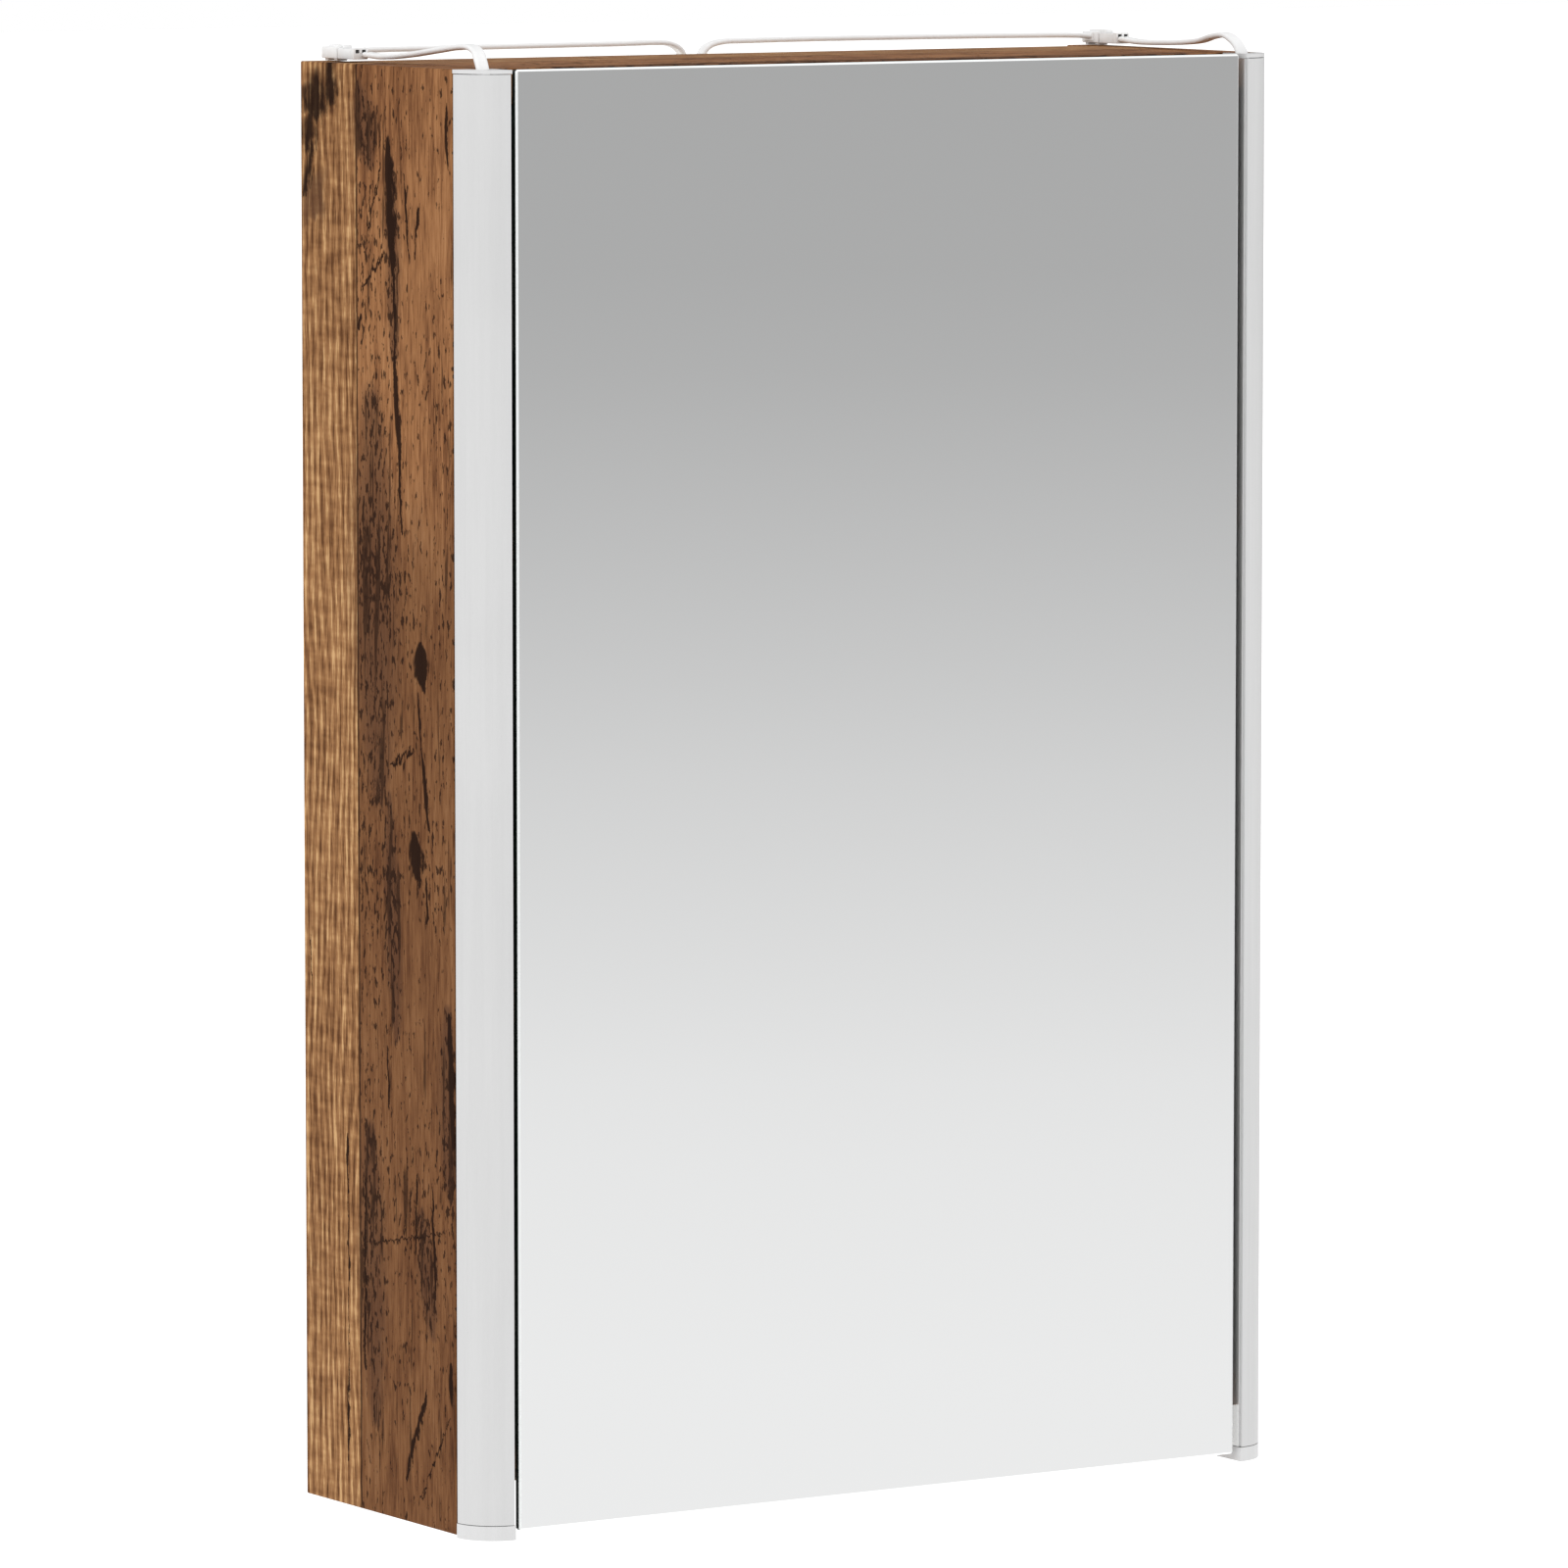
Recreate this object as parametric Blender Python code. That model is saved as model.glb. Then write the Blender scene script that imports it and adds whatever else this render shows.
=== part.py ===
"""Hanging bathroom mirror cabinet with two vertical LED lamps, made as separate pieces.

Frame: X is the width with 0 in the middle, the wall plane is Y = 0 with the front towards -Y, and
Z = 0 is the lower edge of the side panels. All sizes are in metres.
"""
import math

import bpy
import bmesh
from mathutils import Vector

MM = 0.001

# Carcass
WIDTH = 398 * MM
HEIGHT = 600 * MM
SIDE_DEPTH = 122 * MM
BOARD = 15 * MM
FIT = 0.3 * MM
BOTTOM_LIFT = 20 * MM
PANEL_REAR = -13 * MM
SHELF_COUNT = 2
SHELF_FRONT_SETBACK = 2 * MM
EDGE_ROUND = 0.4 * MM

# Back panel and its groove
BACK_THICK = 3 * MM
BACK_REAR = -22 * MM
GROOVE_DEPTH = 4 * MM

# Lamps
LAMP_SIZE = 18 * MM
LAMP_BELOW = 1.2 * MM
LAMP_WALL = 1.4 * MM
LAMP_ARC_STEPS = 12
CAP_TOP_THICK = 1.6 * MM
CAP_BOTTOM_THICK = 6 * MM
STRIP_WIDTH = 8 * MM
STRIP_THICK = 0.8 * MM
LEAD_SLOT = (8 * MM, 4.5 * MM)

# Door
DOOR_GAP = 2.7 * MM
PANE_THICK = 4 * MM
PANE_FRONT = -138.5 * MM
PANE_BOTTOM = 2.2 * MM
PANE_ARRIS = 0.8 * MM
BACKING_THICK = 9.7 * MM
BACKING_INSET_HINGE = 18.3 * MM
BACKING_INSET_FREE = 12 * MM
BACKING_INSET_END = 2 * MM

# Hinges, both on the left side panel
PIVOT_INSET = 9 * MM
PIVOT_BEHIND_FRONT = 6.5 * MM
HINGE_HEIGHTS = {"lower": 95 * MM, "upper": 505 * MM}
LEAF_HALF = 20 * MM
LEAF_THICK = 1.5 * MM
BARREL_RADIUS = 2.1 * MM
BARREL_HOLE = 1.25 * MM
PIN_RADIUS = 1.0 * MM
PIN_STAND_OUT = 1.2 * MM
KNUCKLE_HALF = 6.7 * MM
KNUCKLE_GAP = 0.4 * MM
CARCASS_LEAF_LENGTH = 34 * MM
DOOR_LEAF_LENGTH = 30 * MM

# Small hardware
PIN_DIAMETER = 5 * MM
PIN_IN_WALL = 8 * MM
PIN_STICK_OUT = 8 * MM
SHELF_PIN_Y = (-45 * MM, -100 * MM)
HOLE_PITCH = 32 * MM
DOWEL_RADIUS = 4 * MM
DOWEL_LENGTH = 30 * MM
DOWEL_IN_SIDE = 10 * MM
DOWEL_Y = (-35 * MM, -100 * MM)
PLATE_WIDTH = 11 * MM
PLATE_LENGTH = 44 * MM
PLATE_THICK = 1.5 * MM
PLATE_TOP = 578 * MM
KEYHOLE_RADIUS = 4 * MM
KEYHOLE_SLOT = 1.8 * MM

# Lamp wiring on the top
LEAD_WIDTH = 5.8 * MM
LEAD_THICK = 2.2 * MM
LEAD_STATION = 5 * MM
CONNECTOR_WIDTH = 7 * MM
CONNECTOR_HEIGHT = 6.6 * MM
CONNECTOR_Y = (-3.5 * MM, -16 * MM, -30 * MM)
CONNECTOR_X = {"left": -187.5 * MM, "right": 193 * MM}
DRIVER_X = -14 * MM
DRIVER_SIZE = (42 * MM, 17 * MM, 150 * MM)
DRIVER_TOP = 540 * MM

ROUND_STEPS = 16
SIDES = {"left": -1, "right": 1}
HALF = WIDTH / 2
BUMPER_FROM_EDGE = 30 * MM
BUMPER_RADIUS = 4 * MM
BUMPER_THICK = 1.6 * MM
STRIKE_BELOW_SHELF = 14 * MM
STRIKE_OUTER = 20 * MM
STRIKE_INNER = 34 * MM
STRIKE_HALF_HEIGHT = 6 * MM
STRIKE_THICK = 1.0 * MM
CATCH_SETBACK = 1.0 * MM
CATCH_OUTER = 14 * MM
CATCH_INNER = 40 * MM
CATCH_DEPTH = 22 * MM
CATCH_BELOW_STRIKE = 7 * MM
CATCH_ROUND = 0.8 * MM
STRIP_FOOT = 8 * MM
STRIP_HEAD = 12 * MM
LEAD_CORNER = 0.82
KEYHOLE_ENTRY = 14 * MM
KEYHOLE_TRAVEL = 13 * MM
PLATE_SCREW_TOP = 5 * MM
PLATE_SCREW_FOOT = 4.5 * MM
PLATE_SCREW_RADIUS = 1.8 * MM
POCKET_DEPTH = 9 * MM
POCKET_FOOT = 9 * MM
POCKET_HEAD = 12 * MM
INNER = HALF - BOARD
PANE_HALF = HALF - LAMP_SIZE - DOOR_GAP
PANE_REAR = PANE_FRONT + PANE_THICK
PIVOT = Vector((-PANE_HALF + PIVOT_INSET, PANE_FRONT + PIVOT_BEHIND_FRONT, 0))
COMPARTMENT = (HEIGHT - BOTTOM_LIFT - (2 + SHELF_COUNT) * BOARD) / (1 + SHELF_COUNT)

# Route points of each lead, at the middle of its section
LAMP_LEAD_POINTS = {
    "left": [(-184.6, -30.4, 603.2), (-182.8, -42, 602.6), (-180.0, -57, 603.8), (-178.6, -74, 605.8),
             (-178.6, -92, 607.8), (-179.6, -104, 608.4), (-181.8, -114, 606.6), (-184.6, -121, 603.2),
             (-186.6, -126.4, 598.6), (-187.2, -128.6, 593.6)],
    "right": [(193.0, -30.4, 603.2), (192.4, -44, 602.4), (190.8, -62, 602.6), (189.2, -80, 603.2),
              (187.8, -96, 604.4), (187.2, -107, 606.6), (187.4, -116, 607.2), (188.0, -122.6, 604.0),
              (188.2, -126.6, 599.0), (188.2, -128.6, 593.6)],
}
SUPPLY_LEAD_POINTS = {
    "left": [(-183.6, -9.4, 603.8), (-170, -9.4, 604.3), (-130, -9.4, 604.5), (-80, -9.4, 604.7),
             (-50, -9.4, 604.8), (-32, -9.4, 605.0), (-25, -9.4, 604.4), (-20.2, -9.4, 602.0),
             (-18.2, -9.4, 598.0), (-17.8, -9.4, 592), (-17.8, -9.4, 575), (-17.8, -9.4, 540.4)],
    "right": [(189.1, -9.4, 604.0), (176, -9.4, 604.6), (130, -9.4, 605.0), (80, -9.4, 605.2),
              (40, -9.4, 605.2), (12, -9.4, 605.0), (1.6, -9.4, 604.8), (-5.4, -9.4, 603.2),
              (-8.8, -9.4, 599.8), (-9.9, -9.4, 594), (-10.0, -9.4, 575), (-10.0, -9.4, 540.4)],
}

MATERIALS = {
    "wood": ((0.26, 0.13, 0.065), 0.55, 0.0),
    "back": ((0.72, 0.70, 0.66), 0.6, 0.0),
    "opal": ((0.86, 0.86, 0.85), 0.4, 0.0),
    "white": ((0.82, 0.82, 0.80), 0.4, 0.0),
    "mirror": ((0.72, 0.72, 0.72), 0.06, 1.0),
    "steel": ((0.56, 0.56, 0.57), 0.3, 1.0),
    "circuit": ((0.9, 0.88, 0.7), 0.5, 0.0),
    "beech": ((0.6, 0.42, 0.24), 0.6, 0.0),
    "clear": ((0.85, 0.85, 0.85), 0.2, 0.0),
}


def clear_scene():
    """Remove every object that is already in the scene."""
    for item in list(bpy.data.objects):
        bpy.data.objects.remove(item, do_unlink=True)


def make_material(name):
    """Return the named finish as a Principled material."""
    if name in bpy.data.materials:
        return bpy.data.materials[name]
    colour, roughness, metallic = MATERIALS[name]
    material = bpy.data.materials.new(name)
    material.use_nodes = True
    shader = material.node_tree.nodes["Principled BSDF"]
    shader.inputs["Base Color"].default_value = (*colour, 1)
    shader.inputs["Roughness"].default_value = roughness
    shader.inputs["Metallic"].default_value = metallic
    return material


def add_object(name, shape, place, finish=None, parent=None):
    """Turn a bmesh into a named object at a place, with its finish."""
    mesh = bpy.data.meshes.new(name)
    bmesh.ops.recalc_face_normals(shape, faces=shape.faces)
    shape.to_mesh(mesh)
    shape.free()
    item = bpy.data.objects.new(name, mesh)
    bpy.context.scene.collection.objects.link(item)
    if parent is None:
        item.location = place
    else:
        item.parent = parent
        item.location = Vector(place) - parent.location
    if finish:
        mesh.materials.append(make_material(finish))
    return item


def block(name, low, high, finish=None, arris=0.0, parent=None):
    """A rectangular piece between two corners, with its edges eased by arris."""
    low, high = Vector(low), Vector(high)
    shape = bmesh.new()
    bmesh.ops.create_cube(shape, size=1)
    bmesh.ops.scale(shape, vec=high - low, verts=shape.verts)
    item = add_object(name, shape, (low + high) / 2, finish, parent)
    if arris:
        ease_edges(item, arris)
    return item


def ease_edges(item, width, segments=1):
    """Add a Bevel modifier that rounds the sharp edges of a piece."""
    bevel = item.modifiers.new("eased_edges", "BEVEL")
    bevel.width = width
    bevel.segments = segments
    bevel.limit_method = "ANGLE"


def prism(name, outline, low, high, finish=None, parent=None, place=(0, 0)):
    """An outline in X and Y, given about place, pulled up from low to high."""
    shape = bmesh.new()
    corners = [shape.verts.new((x, y, 0)) for x, y in outline]
    face = shape.faces.new(corners)
    pulled = bmesh.ops.extrude_face_region(shape, geom=[face])
    top = [g for g in pulled["geom"] if isinstance(g, bmesh.types.BMVert)]
    bmesh.ops.translate(shape, vec=(0, 0, high - low), verts=top)
    return add_object(name, shape, (place[0], place[1], low), finish, parent)


def rod(name, start, axis, radius, length, finish=None, parent=None, steps=ROUND_STEPS):
    """A round bar from start along the X, Y or Z axis."""
    shape = bmesh.new()
    bmesh.ops.create_cone(shape, cap_ends=True, segments=steps, radius1=radius, radius2=radius, depth=length)
    direction = Vector(axis)
    turn = Vector((0, 0, 1)).rotation_difference(direction).to_matrix()
    bmesh.ops.rotate(shape, cent=(0, 0, 0), matrix=turn, verts=shape.verts)
    item = add_object(name, shape, Vector(start) + direction * length / 2, finish, parent)
    item.data.shade_smooth()
    item.data.set_sharp_from_angle(angle=math.radians(40))
    return item


def combine(item, other, operation):
    """Join another shape to a piece, or cut it away, and hide that shape."""
    change = item.modifiers.new(other.name, "BOOLEAN")
    change.operation = operation
    change.object = other
    other.hide_render = True
    other.display_type = "WIRE"


def shelf_bottoms():
    """Lower faces of the shelves, which share the inner height evenly."""
    first = BOTTOM_LIFT + BOARD
    return [first + (i + 1) * COMPARTMENT + i * BOARD for i in range(SHELF_COUNT)]


def board_levels():
    """Middle heights of the bottom and top panels."""
    return {"bottom": BOTTOM_LIFT + BOARD / 2, "top": HEIGHT - BOARD / 2}


def build_side(side, sign):
    """One side panel with its groove, pin holes, dowel holes and hanger pocket."""
    face = sign * INNER
    xs = sorted((face, sign * HALF))
    panel = block(f"side_panel_{side}", (xs[0], -SIDE_DEPTH, 0), (xs[1], 0, HEIGHT), "wood", EDGE_ROUND)
    groove = sorted((face - sign * MM, face + sign * GROOVE_DEPTH))
    combine(panel, block(
        f"cut_groove_{side}",
        (groove[0], BACK_REAR - BACK_THICK - FIT, BOTTOM_LIFT + BOARD - GROOVE_DEPTH - FIT),
        (groove[1], BACK_REAR + FIT, HEIGHT - BOARD + GROOVE_DEPTH + FIT)), "DIFFERENCE")
    for level, bottom in enumerate(shelf_bottoms()):
        for row, y in enumerate(SHELF_PIN_Y):
            for step in (-1, 0, 1):
                z = bottom - PIN_DIAMETER / 2 - FIT + step * HOLE_PITCH
                combine(panel, rod(
                    f"cut_pin_{side}_{level}_{row}_{step + 1}", (face - sign * MM, y, z), (sign, 0, 0),
                    PIN_DIAMETER / 2 + FIT, PIN_IN_WALL + FIT + MM, steps=12), "DIFFERENCE")
    for level, z in board_levels().items():
        for row, y in enumerate(DOWEL_Y):
            combine(panel, rod(
                f"cut_dowel_{side}_{level}_{row}", (face - sign * MM, y, z), (sign, 0, 0),
                DOWEL_RADIUS + FIT, DOWEL_IN_SIDE + FIT + MM, steps=12), "DIFFERENCE")
    middle = sign * (HALF - BOARD / 2)
    combine(panel, block(
        f"cut_plate_{side}",
        (middle - PLATE_WIDTH / 2 - FIT, -PLATE_THICK - 2 * FIT, PLATE_TOP - PLATE_LENGTH - FIT),
        (middle + PLATE_WIDTH / 2 + FIT, MM, PLATE_TOP + FIT)), "DIFFERENCE")
    combine(panel, block(
        f"cut_screw_room_{side}",
        (middle - KEYHOLE_RADIUS, -POCKET_DEPTH, PLATE_TOP - PLATE_LENGTH + POCKET_FOOT),
        (middle + KEYHOLE_RADIUS, -MM, PLATE_TOP - POCKET_HEAD)), "DIFFERENCE")


def build_keyhole_plate(side, sign):
    """A steel hanging plate, let into the rear edge of a side panel."""
    middle = sign * (HALF - BOARD / 2)
    rear = -FIT
    plate = block(
        f"keyhole_plate_{side}",
        (middle - PLATE_WIDTH / 2, rear - PLATE_THICK, PLATE_TOP - PLATE_LENGTH),
        (middle + PLATE_WIDTH / 2, rear, PLATE_TOP), "steel")
    entry = PLATE_TOP - PLATE_LENGTH + KEYHOLE_ENTRY
    through = PLATE_THICK + 2 * MM
    start = (middle, rear - PLATE_THICK - MM, entry)
    combine(plate, rod(f"cut_entry_{side}", start, (0, 1, 0), KEYHOLE_RADIUS, through), "DIFFERENCE")
    combine(plate, block(
        f"cut_slot_{side}", (middle - KEYHOLE_SLOT, rear - PLATE_THICK - MM, entry),
        (middle + KEYHOLE_SLOT, MM, entry + KEYHOLE_TRAVEL)), "DIFFERENCE")
    for i, z in enumerate((PLATE_TOP - PLATE_SCREW_TOP, PLATE_TOP - PLATE_LENGTH + PLATE_SCREW_FOOT)):
        start = (middle, rear - PLATE_THICK - MM, z)
        hole = rod(f"cut_fix_{side}_{i}", start, (0, 1, 0), PLATE_SCREW_RADIUS, through, steps=12)
        combine(plate, hole, "DIFFERENCE")


def build_boards():
    """Top and bottom panels, shelves and the back panel."""
    reach = INNER - FIT
    groove_y = (BACK_REAR - BACK_THICK - FIT, BACK_REAR + FIT)
    for level, z in board_levels().items():
        panel = block(
            f"{level}_panel", (-reach, -SIDE_DEPTH, z - BOARD / 2), (reach, PANEL_REAR, z + BOARD / 2),
            "wood", EDGE_ROUND)
        inward = 1 if level == "bottom" else -1
        zs = sorted((z + inward * (BOARD / 2 + MM), z + inward * (BOARD / 2 - GROOVE_DEPTH - FIT)))
        combine(panel, block(
            f"cut_{level}_groove", (-HALF, groove_y[0], zs[0]), (HALF, groove_y[1], zs[1])), "DIFFERENCE")
        for side, sign in SIDES.items():
            for row, y in enumerate(DOWEL_Y):
                combine(panel, rod(
                    f"cut_{level}_{side}_{row}", (sign * (reach + MM), y, z), (-sign, 0, 0),
                    DOWEL_RADIUS + FIT, DOWEL_LENGTH - DOWEL_IN_SIDE + FIT + MM, steps=12), "DIFFERENCE")
    for name, bottom in zip(("lower", "upper"), shelf_bottoms()):
        block(f"shelf_{name}", (-reach + FIT, -SIDE_DEPTH + SHELF_FRONT_SETBACK, bottom),
              (reach - FIT, BACK_REAR - BACK_THICK - 2 * FIT, bottom + BOARD), "wood", EDGE_ROUND)
    edge = GROOVE_DEPTH - FIT
    block("back_panel", (-INNER - edge, BACK_REAR - BACK_THICK, BOTTOM_LIFT + BOARD - edge),
          (INNER + edge, BACK_REAR, HEIGHT - BOARD + edge), "back")


def build_fixings(side, sign):
    """Shelf pins and dowels of one side."""
    for name, bottom in zip(("lower", "upper"), shelf_bottoms()):
        for place, y in zip(("rear", "front"), SHELF_PIN_Y):
            rod(f"shelf_pin_{name}_{side}_{place}",
                (sign * (INNER + PIN_IN_WALL), y, bottom - PIN_DIAMETER / 2 - FIT), (-sign, 0, 0),
                PIN_DIAMETER / 2, PIN_IN_WALL + PIN_STICK_OUT, "steel")
    for level, z in board_levels().items():
        for place, y in zip(("rear", "front"), DOWEL_Y):
            rod(f"dowel_{level}_{side}_{place}", (sign * (INNER + DOWEL_IN_SIDE), y, z), (-sign, 0, 0),
                DOWEL_RADIUS, DOWEL_LENGTH, "beech", steps=12)


def lamp_arc(sign, radius, first=0.0, last=90.0):
    """Points of the lamp's outer curve, from its rear outer corner to its front inner one."""
    centre = (sign * (HALF - LAMP_SIZE), -SIDE_DEPTH - FIT)
    points = []
    for i in range(LAMP_ARC_STEPS + 1):
        turn = math.radians(first + (last - first) * i / LAMP_ARC_STEPS)
        points.append((centre[0] + sign * radius * math.cos(turn), centre[1] - radius * math.sin(turn)))
    return points


def build_lamp(side, sign):
    """One quarter-round LED lamp in front of a side panel: base, strip, diffuser and two caps."""
    rear = -SIDE_DEPTH - FIT
    inner = sign * (HALF - LAMP_SIZE)
    low, high = -LAMP_BELOW + CAP_BOTTOM_THICK + FIT, HEIGHT - CAP_TOP_THICK - FIT
    radius = LAMP_SIZE - FIT
    shell = lamp_arc(sign, radius, 2, 88) + lamp_arc(sign, radius - LAMP_WALL, 88, 2)
    diffuser = prism(f"lamp_diffuser_{side}", shell, low, high, "opal")
    diffuser.data.shade_smooth()
    diffuser.data.set_sharp_from_angle(angle=math.radians(40))
    reach = radius - LAMP_WALL - FIT
    base = [(inner, rear), (inner + sign * reach, rear), (inner + sign * reach, rear - LAMP_WALL),
            (inner + sign * LAMP_WALL, rear - LAMP_WALL), (inner + sign * LAMP_WALL, rear - reach),
            (inner, rear - reach)]
    prism(f"lamp_base_{side}", base, low, high, "white")
    strip_middle = inner + sign * LAMP_SIZE / 2
    strip_rear = rear - LAMP_WALL - FIT
    block(f"lamp_strip_{side}", (strip_middle - STRIP_WIDTH / 2, strip_rear - STRIP_THICK, low + STRIP_FOOT),
          (strip_middle + STRIP_WIDTH / 2, strip_rear, high - STRIP_HEAD), "circuit")
    outline = [(inner, rear)] + lamp_arc(sign, radius)
    prism(f"lamp_cap_bottom_{side}", outline, -LAMP_BELOW, -LAMP_BELOW + CAP_BOTTOM_THICK, "white")
    top = prism(f"lamp_cap_top_{side}", outline, HEIGHT - CAP_TOP_THICK, HEIGHT, "white")
    entry = min(smooth_route(LAMP_LEAD_POINTS[side]), key=lambda point: abs(point.z - HEIGHT))
    combine(top, block(
        f"cut_lead_{side}", (entry.x - LEAD_SLOT[0] / 2, entry.y - LEAD_SLOT[1], HEIGHT - 5 * MM),
        (entry.x + LEAD_SLOT[0] / 2, -SIDE_DEPTH + MM, HEIGHT + 5 * MM)), "DIFFERENCE")


def smooth_route(points):
    """Even stations on a smooth curve through a lead's route points."""
    knots = [Vector(p) * MM for p in points]
    knots = [2 * knots[0] - knots[1]] + knots + [2 * knots[-1] - knots[-2]]
    route = []
    for before, start, end, after in zip(knots, knots[1:], knots[2:], knots[3:]):
        count = max(1, round((end - start).length / LEAD_STATION))
        for i in range(count):
            t = i / count
            route.append(0.5 * (
                2 * start + (end - before) * t + (2 * before - 5 * start + 4 * end - after) * t ** 2
                + (3 * start - before - 3 * end + after) * t ** 3))
    return route + [knots[-2]]


def build_lead(name, points, across):
    """A flat two-core lead whose width lies along the vector across."""
    route = smooth_route(points)
    half, thick = LEAD_WIDTH / 2, LEAD_THICK / 2
    near = LEAD_CORNER * half
    rise = LEAD_CORNER * thick
    section = [(half, 0), (near, rise), (0, thick), (-near, rise),
               (-half, 0), (-near, -rise), (0, -thick), (near, -rise)]
    shape = bmesh.new()
    rings = []
    for i, point in enumerate(route):
        along = (route[min(i + 1, len(route) - 1)] - route[max(i - 1, 0)]).normalized()
        wide = (Vector(across) - along * along.dot(Vector(across))).normalized()
        flat = along.cross(wide)
        rings.append([shape.verts.new(point - route[0] + wide * u + flat * v) for u, v in section])
    for first, second in zip(rings, rings[1:]):
        for k in range(len(section)):
            n = (k + 1) % len(section)
            shape.faces.new((first[k], first[n], second[n], second[k]))
    shape.faces.new(list(reversed(rings[0])))
    shape.faces.new(rings[-1])
    item = add_object(name, shape, route[0], "white")
    item.data.shade_smooth()
    item.data.set_sharp_from_angle(angle=math.radians(50))


def build_wiring(side):
    """Connector halves and the two leads of one lamp."""
    middle = CONNECTOR_X[side]
    rear, split, front = CONNECTOR_Y
    low = HEIGHT + FIT
    for name, start, end in (("socket", rear, split), ("plug", split - FIT, front)):
        block(f"connector_{name}_{side}", (middle - CONNECTOR_WIDTH / 2, end, low),
              (middle + CONNECTOR_WIDTH / 2, start, low + CONNECTOR_HEIGHT), "white", 0.5 * MM)
    build_lead(f"lamp_lead_{side}", LAMP_LEAD_POINTS[side], (1, 0, 0))
    build_lead(f"supply_lead_{side}", SUPPLY_LEAD_POINTS[side], (0, 1, 0))


def build_driver():
    """The flat LED driver on the rear of the back panel."""
    rear = BACK_REAR + FIT
    block("led_driver", (DRIVER_X - DRIVER_SIZE[0] / 2, rear, DRIVER_TOP - DRIVER_SIZE[2]),
          (DRIVER_X + DRIVER_SIZE[0] / 2, rear + DRIVER_SIZE[1], DRIVER_TOP), "white", 1.5 * MM)


def barrel(name, low, high, place=PIVOT):
    """A round knuckle about the pivot between two heights."""
    return rod(name, (place.x, place.y, low), (0, 0, 1), BARREL_RADIUS, high - low)


def build_hinge(name, height, door):
    """One wrap hinge: a leaf on the side panel, a leaf on the door and their pin."""
    low, high = height - LEAF_HALF, height + LEAF_HALF
    half = LEAF_THICK / 2
    clear = BARREL_RADIUS + FIT
    outer_parts = [(low, height - KNUCKLE_HALF - KNUCKLE_GAP), (height + KNUCKLE_HALF + KNUCKLE_GAP, high)]
    wall = -INNER + FIT
    turn = -SIDE_DEPTH + 2.5 * MM
    fixed_outline = [
        (PIVOT.x - half, PIVOT.y + clear), (PIVOT.x + half, PIVOT.y + clear),
        (PIVOT.x + half, turn + LEAF_THICK), (wall + LEAF_THICK, turn + LEAF_THICK),
        (wall + LEAF_THICK, turn + CARCASS_LEAF_LENGTH), (wall, turn + CARCASS_LEAF_LENGTH),
        (wall, turn), (PIVOT.x - half, turn)]
    fixed = prism(f"hinge_side_leaf_{name}", fixed_outline, low, high, "steel")
    for i, (start, end) in enumerate(outer_parts):
        combine(fixed, block(f"join_fixed_{name}_{i}", (PIVOT.x - half, PIVOT.y, start),
                             (PIVOT.x + half, PIVOT.y + clear + MM, end)), "UNION")
        combine(fixed, barrel(f"knuckle_fixed_{name}_{i}", start, end), "UNION")
    combine(fixed, rod(f"cut_fixed_{name}", (PIVOT.x, PIVOT.y, low - MM), (0, 0, 1), BARREL_HOLE,
                       2 * LEAF_HALF + 2 * MM), "DIFFERENCE")

    rear = PANE_REAR + FIT + BACKING_THICK + FIT
    bend = -PANE_HALF + BACKING_INSET_HINGE - FIT - LEAF_THICK
    moving_outline = [
        (PIVOT.x + clear, PIVOT.y - half), (bend + LEAF_THICK, PIVOT.y - half), (bend + LEAF_THICK, rear),
        (bend + LEAF_THICK + DOOR_LEAF_LENGTH, rear),
        (bend + LEAF_THICK + DOOR_LEAF_LENGTH, rear + LEAF_THICK),
        (bend, rear + LEAF_THICK), (bend, PIVOT.y + half), (PIVOT.x + clear, PIVOT.y + half)]
    moving_outline = [(x - PIVOT.x, y - PIVOT.y) for x, y in moving_outline]
    moving = prism(f"hinge_door_leaf_{name}", moving_outline, low, high, "steel", door, (PIVOT.x, PIVOT.y))
    start, end = height - KNUCKLE_HALF, height + KNUCKLE_HALF
    combine(moving, block(f"join_moving_{name}", (PIVOT.x, PIVOT.y - half, start),
                          (PIVOT.x + clear + MM, PIVOT.y + half, end), parent=door), "UNION")
    combine(moving, rod(f"knuckle_moving_{name}", (PIVOT.x, PIVOT.y, start), (0, 0, 1), BARREL_RADIUS,
                        end - start, parent=door), "UNION")
    combine(moving, rod(f"cut_moving_{name}", (PIVOT.x, PIVOT.y, low - MM), (0, 0, 1), BARREL_HOLE,
                        2 * LEAF_HALF + 2 * MM, parent=door), "DIFFERENCE")
    rod(f"hinge_pin_{name}", (PIVOT.x, PIVOT.y, low - PIN_STAND_OUT), (0, 0, 1), PIN_RADIUS,
        2 * (LEAF_HALF + PIN_STAND_OUT), "steel")


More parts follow.
